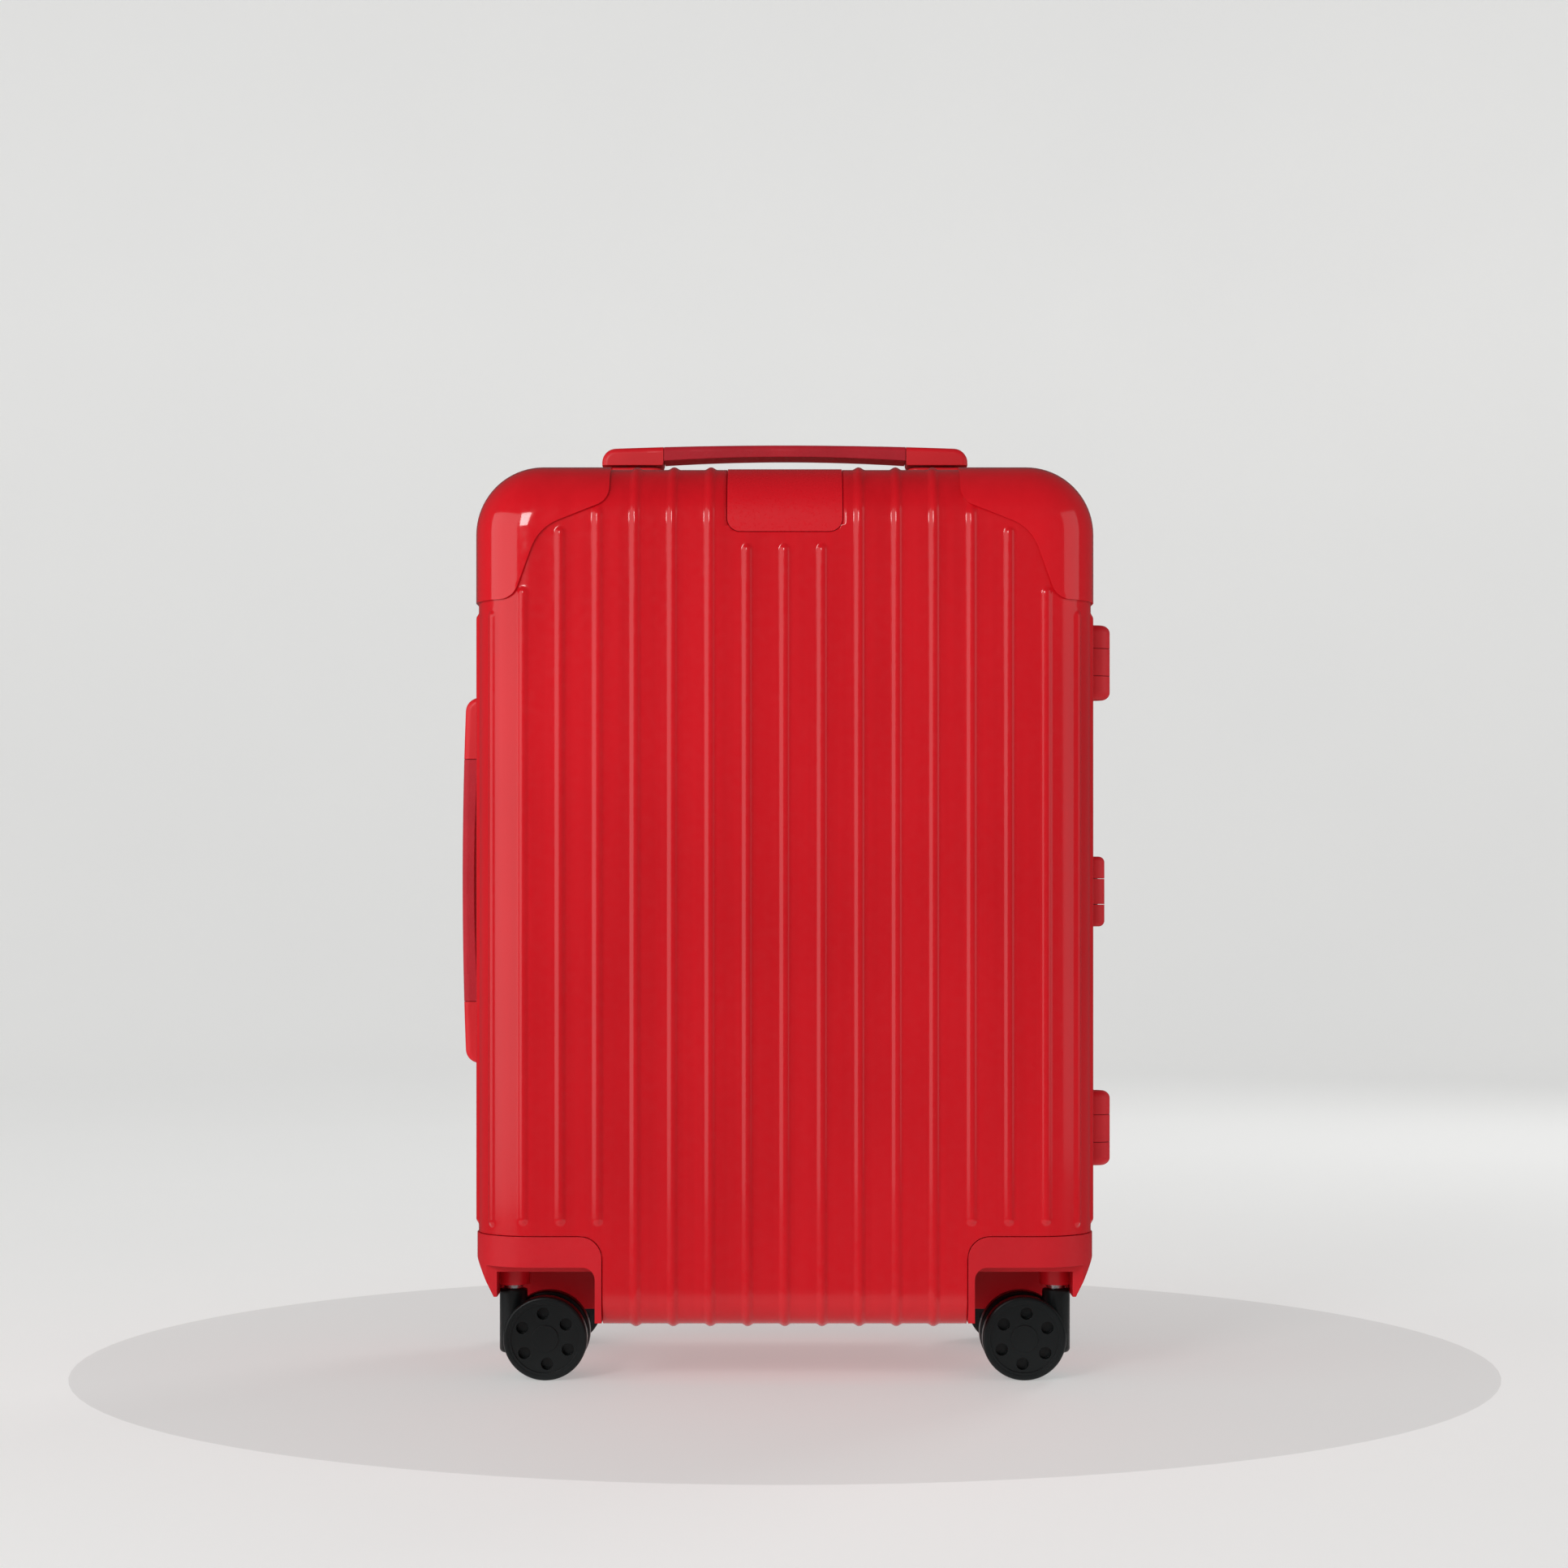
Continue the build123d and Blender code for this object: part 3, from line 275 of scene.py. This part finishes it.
DIAL = satin_plastic("dial_plastic", (0.020, 0.004, 0.005), (0.035, 0.007, 0.008), 0.40, 0.02, 0.3)
STEEL = metal("brushed_steel", (0.42, 0.42, 0.43), (0.60, 0.60, 0.61), 0.30, (1, 1, 0.05))
TUBES = metal("tube_aluminium", (0.52, 0.50, 0.50), (0.66, 0.64, 0.64), 0.32, (1, 1, 0.03), 0.4)
LINING = woven("lining_weave", (0.060, 0.008, 0.012), (0.120, 0.017, 0.024), 1.6, 0.05)
WEBBING = woven("strap_webbing", (0.030, 0.006, 0.009), (0.075, 0.013, 0.019), 2.4, 0.25, 0.2)

CAD_LOOKS = {
    "badge_plate": BADGE,
    "front_frame": FRAME, "rear_frame": FRAME, "rear_seal": SEAL,
    "handle_bases": HANDLE, "top_handle_bar": HANDLE, "side_handle_bar": HANDLE,
    "top_handle_grip": GRIP, "side_handle_grip": GRIP,
    "trolley_bezel": HANDLE, "trolley_grip": HANDLE, "trolley_button": HINGE,
    "trolley_outer_tubes": TUBES, "trolley_middle_tubes": TUBES, "trolley_inner_tubes": TUBES,
    "hinge_rear_leaves": HINGE, "hinge_front_leaves": HINGE, "hinge_pins": STEEL,
    "latch_bases": HINGE, "latch_strikers": HINGE,
}


def cad_look(node):
    """The material for a CAD node that stays."""
    if node in CAD_LOOKS:
        return CAD_LOOKS[node]
    if node.endswith("_wheel_housing"):
        return HOUSING
    if node.endswith("_fork") or node.endswith("_wheel"):
        return NYLON
    if "_dial_" in node:
        return DIAL
    if node.endswith("_latch_lever"):
        return HANDLE
    return STEEL


for node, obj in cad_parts.items():
    obj.data.materials.clear()
    obj.data.materials.append(cad_look(node))


# ---- ribbed half shells -------------------------------------------------------------------------
def upright_path():
    """Rows of (y, z, normal y, normal z), from the seam under the floor, up the face, back over the top."""
    rows = [(-y, BOTTOM, 0, -1) for y in spaced((SEAM, 1.0), (10, 9), (HALF_D - FLOOR_R, 0))]
    for turn in spaced((0, 9), (90, 0))[1:]:
        c, s = math.cos(math.radians(turn)), math.sin(math.radians(turn))
        rows.append((-(HALF_D - FLOOR_R + FLOOR_R * s), BOTTOM + FLOOR_R - FLOOR_R * c, -s, -c))
    face = spaced(
        (BOTTOM + FLOOR_R, 7), (NOTCH_LOW, 2.2), (NOTCH_HIGH, 1.0), (99, 11), (429, 1.0), (TOP - EDGE_R, 0)
    )
    rows += [(-HALF_D, z, -1, 0) for z in face[1:]]
    for turn in spaced((0, 3.6), (90, 0))[1:]:
        c, s = math.cos(math.radians(turn)), math.sin(math.radians(turn))
        rows.append((-(FLAT_Y + EDGE_R * c), TOP - EDGE_R + EDGE_R * s, -c, s))
    back = spaced((FLAT_Y, 1.2), (66, 4), (58, 1.1), (50, 6), (10, 1.0), (SEAM, 0))
    rows += [(-y, TOP, 0, 1) for y in back[1:]]
    return rows


def columns(half_pitches=12):
    """Positions along the skin, close together on the ribs."""
    right = (0.18, 0.36, 0.52, 0.68, 0.86, 1.06)
    fine = [RIB_HALF * t for t in (*(-t for t in reversed(right)), 0, *right)]
    values = [k * PITCH + f for k in range(-half_pitches, half_pitches + 1) for f in fine]
    values += [
        (k + t) * PITCH for k in range(-half_pitches - 1, half_pitches + 1) for t in (0.33, 0.5, 0.67)
    ]
    ends = [HOUSING_X, HOUSING_X + HOUSING_TURN, CORNER_X, FLAT_X, SKIN_END]
    ends += [HOUSING_X + HOUSING_TURN * t for t in (0.04, 0.1, 0.2, 0.35, 0.6)]
    exact = sorted(side * e for e in ends for side in (-1, 1))
    values = [v for v in values if abs(v) < SKIN_END and min(abs(v - e) for e in exact) > 0.35]
    return sorted(values + exact)


NOTCH_LOW, NOTCH_HIGH = HOUSING_TOP - HOUSING_TURN, 88.0
TURN_LENGTH = EDGE_R * math.pi / 2
SKIN_END = FLAT_X + TURN_LENGTH + FLAT_Y - SEAM
FACE_START = HALF_D - FLOOR_R - SEAM + FLOOR_R * math.pi / 2      # path length where the face starts
TOP_START = FACE_START + (TOP - EDGE_R) - (BOTTOM + FLOOR_R) + TURN_LENGTH


def at_face(z):
    """Path length at a level of the face."""
    return FACE_START + z - BOTTOM - FLOOR_R


def at_top(y):
    """Path length at a depth of the top."""
    return TOP_START + FLAT_Y - y


def notch_edge(x):
    """The level at which the skin starts above a wheel housing, for a distance from the middle."""
    inside = HOUSING_X + HOUSING_TURN - min(x, HOUSING_X + HOUSING_TURN)
    return NOTCH_LOW + math.sqrt(max(0.0, HOUSING_TURN ** 2 - inside ** 2))


def half_shell(name, ribs, facing):
    """The ribbed skin of one half as a closed thin shell; facing is 1 for the front, -1 for the rear."""
    across, rows = columns(), upright_path()
    along = np.cumsum([0.0] + [math.dist(a[:2], b[:2]) for a, b in zip(rows, rows[1:])])
    face_rows = [i for i, row in enumerate(rows) if row[2] == -1 and row[1] >= NOTCH_LOW - 0.01]
    first = face_rows[0]
    points, normals, place = [], [], {}
    reach = np.array([[0.0] * len(rows)] * len(across))
    for i, u in enumerate(across):
        for j, (y, z, ny, nz) in enumerate(rows):
            if abs(u) > HOUSING_X and j < first:
                continue
            if abs(u) > HOUSING_X + 0.5 and z > 508 or abs(u) > CORNER_X and z > CORNER_Z:
                continue
            s = along[j]
            if abs(u) >= HOUSING_X and z < NOTCH_HIGH and ny == -1:
                low = notch_edge(abs(u))
                lifted = low + (z - NOTCH_LOW) * (NOTCH_HIGH - low) / (NOTCH_HIGH - NOTCH_LOW)
                s, z = s + lifted - z, lifted
            reach[i, j] = s
            if abs(u) <= FLAT_X:
                point, normal = (u, y, z), (0, ny, nz)
            else:
                turn = min((abs(u) - FLAT_X) / EDGE_R, math.pi / 2)
                past = max(0.0, abs(u) - FLAT_X - TURN_LENGTH)
                sx, cy = math.sin(turn), math.cos(turn)
                point = (math.copysign(FLAT_X + EDGE_R * sx, u), -(FLAT_Y + EDGE_R * cy - past), z)
                normal = (math.copysign(sx, u), -cy, 0)
            place[i, j] = len(points)
            points.append(point)
            normals.append(normal)
    height = np.zeros(reach.shape)
    across = np.array(across)
    for centre, low, high in ribs:
        near = np.abs(across - centre) < RIB_HALF
        beyond = np.maximum(0, np.maximum(low - reach[near], reach[near] - high))
        away = np.minimum(1, np.hypot(beyond, (across[near] - centre)[:, None]) / RIB_HALF)
        height[near] = np.maximum(height[near], CREST * 0.5 * (1 + np.cos(math.pi * away ** 1.15)))
    for (i, j), index in place.items():
        h = height[i, j]
        x, y, z = (p + h * n for p, n in zip(points[index], normals[index]))
        points[index] = (x, facing * y, z)
    faces = []
    for (i, j) in place:
        corners = [place.get(c) for c in ((i, j), (i + 1, j), (i + 1, j + 1), (i, j + 1))]
        if None not in corners:
            faces.append(corners if facing > 0 else corners[::-1])
    obj = mesh_object(name, points, faces, SHELL)
    thick = obj.modifiers.new("wall", "SOLIDIFY")
    thick.thickness = WALL * 0.001
    thick.offset = -1
    thick.use_even_offset = False
    return obj


def cut(obj, low, high, round_r=0.0):
    """Takes a block in millimetres out of obj, its lower corners rounded as seen from the front."""
    outline = [(low[0], high[2])]
    for side, start in ((-1, 180), (1, 270)):
        centre_x = (low[0] + round_r) if side < 0 else (high[0] - round_r)
        for turn in spaced((start, 9 if round_r else 90), (start + 90, 0)):
            a = math.radians(turn)
            outline.append((centre_x + round_r * math.cos(a), low[2] + round_r + round_r * math.sin(a)))
    outline.append((high[0], high[2]))
    count = len(outline)
    points = [(x, y, z) for y in (low[1], high[1]) for x, z in outline]
    faces = [list(range(count)), list(range(2 * count - 1, count - 1, -1))]
    faces += [[i, i + count, (i + 1) % count + count, (i + 1) % count] for i in range(count)]
    tool = mesh_object("cutter", points, faces, SHELL, smooth=False)
    mesh = bmesh.new()
    mesh.from_mesh(tool.data)
    bmesh.ops.remove_doubles(mesh, verts=mesh.verts, dist=1e-7)
    bmesh.ops.recalc_face_normals(mesh, faces=mesh.faces)
    mesh.to_mesh(tool.data)
    mesh.free()
    modifier = obj.modifiers.new("cut", "BOOLEAN")
    modifier.operation = "DIFFERENCE"
    modifier.solver = "EXACT"
    modifier.object = tool
    apply_modifiers(obj)
    bpy.data.objects.remove(tool)


SHORT_RIB = {5: (94.0, 494.5), 6: (94.0, 482.5), 7: (94.0, 448.5)}
SIDE_RIB = (92.0, 436.0)
RIB_AT_SEAM = SEAM + RIB_HALF
UNDER = RIB_HALF            # path length where a rib starts under the floor


def common_ribs():
    """Ribs that both halves share, as (place along the skin, path start, path end)."""
    ribs = [
        (side * k * PITCH, at_face(a), at_face(b)) for k, (a, b) in SHORT_RIB.items() for side in (-1, 1)
    ]
    ribs += [(k * PITCH, at_face(SIDE_RIB[0]), at_face(SIDE_RIB[1])) for k in range(8, 13)]
    ribs += [(-k * PITCH, at_face(SIDE_RIB[0]), at_face(SIDE_RIB[1])) for k in range(8, 12)]
    return ribs


front_ribs = common_ribs()
front_ribs += [(k * PITCH, UNDER, at_top(RIB_AT_SEAM)) for k in (-4, -3, -2, 2, 3, 4)]
for k in (-1, 0, 1):
    front_ribs.append((k * PITCH, UNDER, at_face(473.0)))
    front_ribs.append((k * PITCH, at_top(52.0), at_top(RIB_AT_SEAM)))
front_shell = half_shell("front_shell_skin", front_ribs, 1)
BADGE_CORNER = 7.8
ABOVE, BEHIND = 540, 140    # levels clear of the whole case
cut(
    front_shell,
    (badge_low.x - GAP, badge_low.y - 10, badge_low.z - GAP),
    (badge_high.x + GAP, badge_high.y + GAP, ABOVE),
    BADGE_CORNER,
)
finish_piece(front_shell, "front_half", "shell_red", "front_shell")

rear_ribs = common_ribs()
rear_ribs += [(k * PITCH, UNDER, at_face(462.0)) for k in range(-4, 5)]
rear_ribs += [(k * PITCH, at_top(72.0), at_top(RIB_AT_SEAM)) for k in range(-3, 4)]
rear_shell = half_shell("rear_shell_skin", rear_ribs, -1)
cut(
    rear_shell,
    (bezel_low.x - GAP, bezel_low.y - GAP, bezel_low.z - GAP),
    (bezel_high.x + GAP, BEHIND, ABOVE),
)
finish_piece(rear_shell, "rear_half", "shell_red", "rear_shell")


# ---- corner caps --------------------------------------------------------------------------------
CAP_SHARP = ((99.5, 501.0), (139.1, 484.9), (153.9, 445.1))
CAP_ROUND = (11.0, 26.0, 11.0)


def rounded_corner(before, corner, after, radius, steps=10):
    """Points of the arc that rounds a corner."""
    corner = Vector(corner)
    a, b = (Vector(before) - corner).normalized(), (Vector(after) - corner).normalized()
    half = a.angle(b) / 2
    centre = corner + (a + b).normalized() * radius / math.sin(half)
    start, end = (corner + leg * radius / math.tan(half) - centre for leg in (a, b))
    first = math.atan2(start.y, start.x)
    turn = math.remainder(math.atan2(end.y, end.x) - first, 2 * math.pi)
    angles = [first + turn * i / steps for i in range(steps + 1)]
    return [(centre.x + radius * math.cos(t), centre.y + radius * math.sin(t)) for t in angles]


def cap_outline():
    """The cap's edge seen from the front, right-hand side, as (x, z) points."""
    far = [(CAP_SHARP[0][0], 560.0), *CAP_SHARP, (230.0, CAP_SHARP[2][1])]
    outline = [far[0]]
    for i, radius in enumerate(CAP_ROUND, 1):
        outline += rounded_corner(far[i - 1], far[i], far[i + 1], radius)
    return outline + [far[-1], (230.0, 560.0)]


def cap_blank(side, facing):
    """The thin cover over a top corner before its edge is cut."""
    rounded = EDGE_R + CREST
    profile = [(0, y) for y in spaced((SEAM + 0.1, 12), (FLAT_Y, 0))]
    for turn in spaced((0, 4.5), (90, 0))[1:]:
        a = math.radians(turn)
        profile.append((rounded * (1 - math.cos(a)), FLAT_Y + rounded * math.sin(a)))
    profile += [(inset, FLAT_Y + rounded) for inset in spaced((rounded, 2.5), (56, 0))[1:]]
    stations = [("top", x) for x in spaced((90, 4), (CORNER_X, 0))]
    stations += [("arc", a) for a in spaced((90, 4.5), (0, 0))[1:]]
    stations += [("side", z) for z in spaced((CORNER_Z, 4), (430, 0))[1:]]
    points = []
    for inset, y in profile:
        radius = CORNER_R + CREST - inset
        shift = min(radius, 0.0)
        cx, cz, radius = CORNER_X + shift, CORNER_Z + shift, max(radius, 0.0)
        for kind, value in stations:
            if kind == "top":
                x, z = min(value, cx), TOP + CREST - inset
            elif kind == "side":
                x, z = HALF_W + CREST - inset, min(value, cz)
            else:
                a = math.radians(value)
                x, z = cx + radius * math.cos(a), cz + radius * math.sin(a)
            points.append((side * x, -facing * y, z))
    wide = len(stations)
    faces = []
    for j in range(len(profile) - 1):
        for i in range(wide - 1):
            quad = [j * wide + i, j * wide + i + 1, (j + 1) * wide + i + 1, (j + 1) * wide + i]
            faces.append(quad[::-1] if side * facing > 0 else quad)
    return points, faces


def corner_cap(name, side, facing):
    """A corner cap with its S-shaped edge, rounded along the rim."""
    points, faces = cap_blank(side, facing)
    cap = mesh_object(name, points, faces, CAP)
    mesh = bmesh.new()
    mesh.from_mesh(cap.data)
    bmesh.ops.remove_doubles(mesh, verts=mesh.verts, dist=2e-5)
    mesh.to_mesh(cap.data)
    mesh.free()
    thick = cap.modifiers.new("wall", "SOLIDIFY")
    thick.thickness = CREST * 0.001
    thick.offset = -1
    outline = [(side * x, z) for x, z in cap_outline()]
    count = len(outline)
    tool_points = [(x, y, z) for y in (-160, 160) for x, z in outline]
    tool_faces = [list(range(count)), list(range(2 * count - 1, count - 1, -1))]
    tool_faces += [[i, i + count, (i + 1) % count + count, (i + 1) % count] for i in range(count)]
    tool = mesh_object("cutter", tool_points, tool_faces, CAP, smooth=False)
    mesh = bmesh.new()
    mesh.from_mesh(tool.data)
    bmesh.ops.recalc_face_normals(mesh, faces=mesh.faces)
    mesh.to_mesh(tool.data)
    mesh.free()
    modifier = cap.modifiers.new("cut", "BOOLEAN")
    modifier.operation = "INTERSECT"
    modifier.solver = "EXACT"
    modifier.object = tool
    soften = cap.modifiers.new("rim", "BEVEL")
    soften.width = 0.0006
    soften.segments = 3
    soften.limit_method = "ANGLE"
    soften.angle_limit = math.radians(50)
    apply_modifiers(cap)
    bpy.data.objects.remove(tool)
    cap.data.shade_smooth()
    return cap


# the rear caps leave room for the top handle's pedestals and for the trolley's bezel
CUT_INNER = 90.0            # inside the caps' inner edges
PEDESTAL_OUTER = 112.6
PEDESTAL_Y = (8.4, 35.6)
for half, facing in (("front", 1), ("rear", -1)):
    right = corner_cap(f"{half}_right_cap", 1, facing)
    left = corner_cap(f"{half}_left_cap", -1, facing)
    if half == "rear":
        for cap, side in ((right, 1), (left, -1)):
            for outer, near, far, low in (
                (PEDESTAL_OUTER, *PEDESTAL_Y, TOP - 7),
                (bezel_high.x + GAP, bezel_low.y - GAP, BEHIND, bezel_low.z - GAP),
            ):
                x_low, x_high = sorted((side * CUT_INNER, side * outer))
                cut(cap, (x_low, near, low), (x_high, far, ABOVE))
    finish_piece(right, f"{half}_half", "cap_red", f"{half}_corner_caps")
    finish_piece(left, f"{half}_half", "cap_red", f"{half}_corner_caps")


# ---- linings ------------------------------------------------------------------------------------
def lining(half, facing):
    """The fabric that lines a half, easing inwards here and there where it isn't glued."""
    mesh = bmesh.new()
    mesh.from_mesh(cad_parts[f"{half}_lining"].data)
    bmesh.ops.remove_doubles(mesh, verts=mesh.verts, dist=1e-6)
    bmesh.ops.triangulate(mesh, faces=mesh.faces)
    for _ in range(8):
        long = [e for e in mesh.edges if e.calc_length() > LINING_GRID]
        if not long:
            break
        bmesh.ops.subdivide_edges(mesh, edges=long, cuts=1)
        bmesh.ops.triangulate(mesh, faces=[f for f in mesh.faces if len(f.verts) > 3])
    mesh.normal_update()
    centre = Vector((0, -0.030 * facing, 0.29))
    moves = []
    for vertex in mesh.verts:
        inward = vertex.normal if vertex.normal.dot(centre - vertex.co) > 0 else -vertex.normal
        loose = min(1.0, max(0.0, (abs(vertex.co.y) - 0.008) / 0.02))
        broad = 0.5 + 0.5 * noise.noise(vertex.co * 14 + Vector((3, 7, 1)))
        fine = max(0.0, noise.noise(Vector((vertex.co.x * 22, vertex.co.y * 30, vertex.co.z * 60))))
        moves.append(inward * loose * (0.0009 * broad + 0.0008 * fine))
    for vertex, move in zip(mesh.verts, moves):
        vertex.co += move
    data = bpy.data.meshes.new(f"{half}_lining_fabric")
    mesh.to_mesh(data)
    mesh.free()
    data.materials.append(LINING)
    data.shade_smooth()
    piece = bpy.data.objects.new(f"{half}_lining_fabric", data)
    bpy.context.scene.collection.objects.link(piece)
    finish_piece(piece, f"{half}_half", "lining_fabric", f"{half}_lining")
    return piece


LINING_GRID = 0.009
for half, facing in (("front", 1), ("rear", -1)):
    cloth = lining(half, facing)
    low, high = box_mm(f"{half}_lining")


# ---- packing straps -----------------------------------------------------------------------------
STRAP_X, STRAP_HALF, STRAP_THICK = 38.0, 12.5, 1.2
STRAP_LOW, STRAP_HIGH, BUCKLE_Z = 104.0, 470.0, 300.0


def rounded_box(name, size, radius, material):
    """A block with rounded edges, from its half sizes in millimetres."""
    x, y, z = size
    points = [(a * x, b * y, c * z) for a in (-1, 1) for b in (-1, 1) for c in (-1, 1)]
    faces = [(0, 1, 3, 2), (4, 6, 7, 5), (0, 4, 5, 1), (2, 3, 7, 6), (0, 2, 6, 4), (1, 5, 7, 3)]
    block = mesh_object(name, points, faces, material)
    round_off = block.modifiers.new("round", "BEVEL")
    round_off.width = radius * 0.001
    round_off.segments = 4
    apply_modifiers(block)
    return block


def webbing(name, x, y, levels, facing):
    """A strap from level to level, drawn tight and bowed a little off the lining, its ends closed flat."""
    low, high = levels
    rows = spaced((low, 4), (high, 0))
    points, faces = [], []
    for side in (0, 1):
        for z in rows:
            share = (z - low) / (high - low)
            bow = 2.2 * math.sin(math.pi * share) + 0.25 * math.sin(share * 37)
            for t in (-1, -0.92, -0.5, 0, 0.5, 0.92, 1):
                edge = 0.3 * abs(t) ** 6
                lift = bow + side * (STRAP_THICK - 2 * edge) + edge
                points.append((x + t * STRAP_HALF, y + facing * lift, z))
    wide, count = 7, len(rows)
    half = wide * count
    for j in range(count - 1):
        for i in range(wide - 1):
            k = j * wide + i
            faces.append([k, k + 1, k + wide + 1, k + wide])
            faces.append([half + k, half + k + wide, half + k + wide + 1, half + k + 1])
        for i in (0, wide - 1):
            k = j * wide + i
            faces.append([k, k + wide, half + k + wide, half + k])
    for j in (0, count - 1):
        for i in range(wide - 1):
            k = j * wide + i
            faces.append([k, half + k, half + k + 1, k + 1])
    strap = mesh_object(name, points, faces, WEBBING)
    mesh = bmesh.new()
    mesh.from_mesh(strap.data)
    bmesh.ops.recalc_face_normals(mesh, faces=mesh.faces)
    mesh.to_mesh(strap.data)
    mesh.free()
    return strap


def buckle(name, x, y, facing):
    """A side-release buckle: body, two prongs showing at its sides and bars that hold the webbing."""
    parts = []
    for label, size, place, radius in (
        ("body", (13.5, 3.4, 11.0), (0, 0, 6.0), 2.6),
        ("left_prong", (2.6, 2.6, 7.0), (-14.2, 0, 5.0), 2.2),
        ("right_prong", (2.6, 2.6, 7.0), (14.2, 0, 5.0), 2.2),
        ("shoulder", (15.5, 3.0, 3.2), (0, 0, -8.6), 2.4),
        ("left_rail", (2.2, 2.6, 6.0), (-14.0, 0, -16.0), 1.8),
        ("right_rail", (2.2, 2.6, 6.0), (14.0, 0, -16.0), 1.8),
        ("bar", (14.0, 2.2, 1.8), (0, 0, -21.0), 1.4),
        ("top_bar", (14.0, 2.2, 1.8), (0, 0, 20.6), 1.4),
        ("left_lug", (2.2, 2.6, 3.4), (-13.0, 0, 18.4), 1.6),
        ("right_lug", (2.2, 2.6, 3.4), (13.0, 0, 18.4), 1.6),
        ("rib", (6.5, 0.5, 7.5), (0, facing * 3.5, 6.0), 0.4),
    ):
        part = rounded_box(f"{name}_{label}", size, radius, BUCKLE)
        shift = Vector((x + place[0], y + place[1], BUCKLE_Z + place[2])) * 0.001
        for vertex in part.data.vertices:
            vertex.co += shift
        parts.append(part)
    with bpy.context.temp_override(active_object=parts[0], selected_editable_objects=parts):
        bpy.ops.object.join()
    parts[0].name = name
    return parts[0]


BUCKLE = satin_plastic("buckle_plastic", (0.010, 0.0045, 0.0055), (0.018, 0.008, 0.009), 0.34, 0.03, 0.3)
for half, facing in (("front", 1), ("rear", -1)):
    low, high = box_mm(f"{half}_straps")
    outside = low.y if facing > 0 else high.y
    for side, x in (("left", -STRAP_X), ("right", STRAP_X)):
        strap = webbing(
            f"{half}_{side}_strap", x, outside + facing * 0.4, (STRAP_LOW, STRAP_HIGH), facing
        )
        clasp = buckle(f"{half}_{side}_buckle", x, outside + facing * 4.0, facing)
        finish_piece(strap, f"{half}_half", "strap_webbing", f"{half}_straps")
        finish_piece(clasp, f"{half}_half", "strap_webbing")


# ---- stage, light and camera --------------------------------------------------------------------
def paper(name, glow):
    look = Look(name, 0.8, Emission_Strength=glow)
    look.shader.inputs["Emission Color"].default_value = (1.0, 1.0, 0.99, 1)
    look.colour((0.50, 0.50, 0.497), (0.515, 0.515, 0.51), look.range(look.noise(2, 2), 0, 1))
    return look.done()


def turned(name, profile, material, steps=96):
    """A surface of revolution about the upright axis, from (radius, height) points in millimetres."""
    points = [(r * math.cos(a), r * math.sin(a), z) for r, z in profile
              for a in (2 * math.pi * i / steps for i in range(steps))]
    faces = []
    for j in range(len(profile) - 1):
        for i in range(steps):
            k = (i + 1) % steps
            faces.append([j * steps + i, j * steps + k, (j + 1) * steps + k, (j + 1) * steps + i][::-1])
    return mesh_object(name, points, faces, material)


PAPER = paper("backdrop_paper", 0.455)
FLOOR = paper("floor_paper", 0.34)
NEAR, FAR, SWEEP = 420.0, 5000.0, 1500.0
floor = turned("floor", [(0.01, 0), (NEAR, 0)], FLOOR)
curve = [
    (FAR - SWEEP + SWEEP * math.sin(turn), SWEEP - SWEEP * math.cos(turn))
    for turn in (math.radians(t) for t in range(6, 91, 6))
]
backdrop = turned("backdrop", [(NEAR, 0), (FAR - SWEEP, 0), *curve, (FAR, 4500)], PAPER)
backdrop.visible_glossy = False


def area_light(name, place, target, size, power, colour=(1, 1, 1)):
    data = bpy.data.lights.new(name, "AREA")
    data.shape = "RECTANGLE"
    data.size, data.size_y = size
    data.energy = power
    data.color = colour
    obj = bpy.data.objects.new(name, data)
    obj.location = place
    obj.visible_camera = False
    obj.rotation_euler = (Vector(target) - Vector(place)).to_track_quat("-Z", "Y").to_euler()
    bpy.context.scene.collection.objects.link(obj)
    return obj


MIDDLE = (0, 0, 0.28)
area_light("left_softbox", (-2.2, -1.1, 0.75), MIDDLE, (2.5, 1.8), 17)
area_light("right_fill", (2.4, -0.62, 0.8), MIDDLE, (1.5, 1.8), 5)
area_light("front_lamp", (-0.95, -2.00, 1.17), MIDDLE, (0.55, 0.62), 13.5)
area_light("rear_lamp", (1.3, 2.0, 1.5), MIDDLE, (0.7, 0.7), 14).visible_glossy = False

world = bpy.data.worlds.new("studio")
world.use_nodes = True
world.node_tree.nodes["Background"].inputs["Color"].default_value = (0.93, 0.94, 0.95, 1)
world.node_tree.nodes["Background"].inputs["Strength"].default_value = 0.08
bpy.context.scene.world = world
bpy.context.scene.view_settings.view_transform = "Standard"

lens = bpy.data.cameras.new("camera")
lens.lens = 72.59
lens.sensor_width = 36.0
lens.shift_x = -1 / 1932
lens.shift_y = 153 / 1932
camera = bpy.data.objects.new("camera", lens)
camera.location = (0, -1.9, 0.270)
camera.rotation_euler = (math.radians(90), 0, 0)
bpy.context.scene.collection.objects.link(camera)
bpy.context.scene.camera = camera
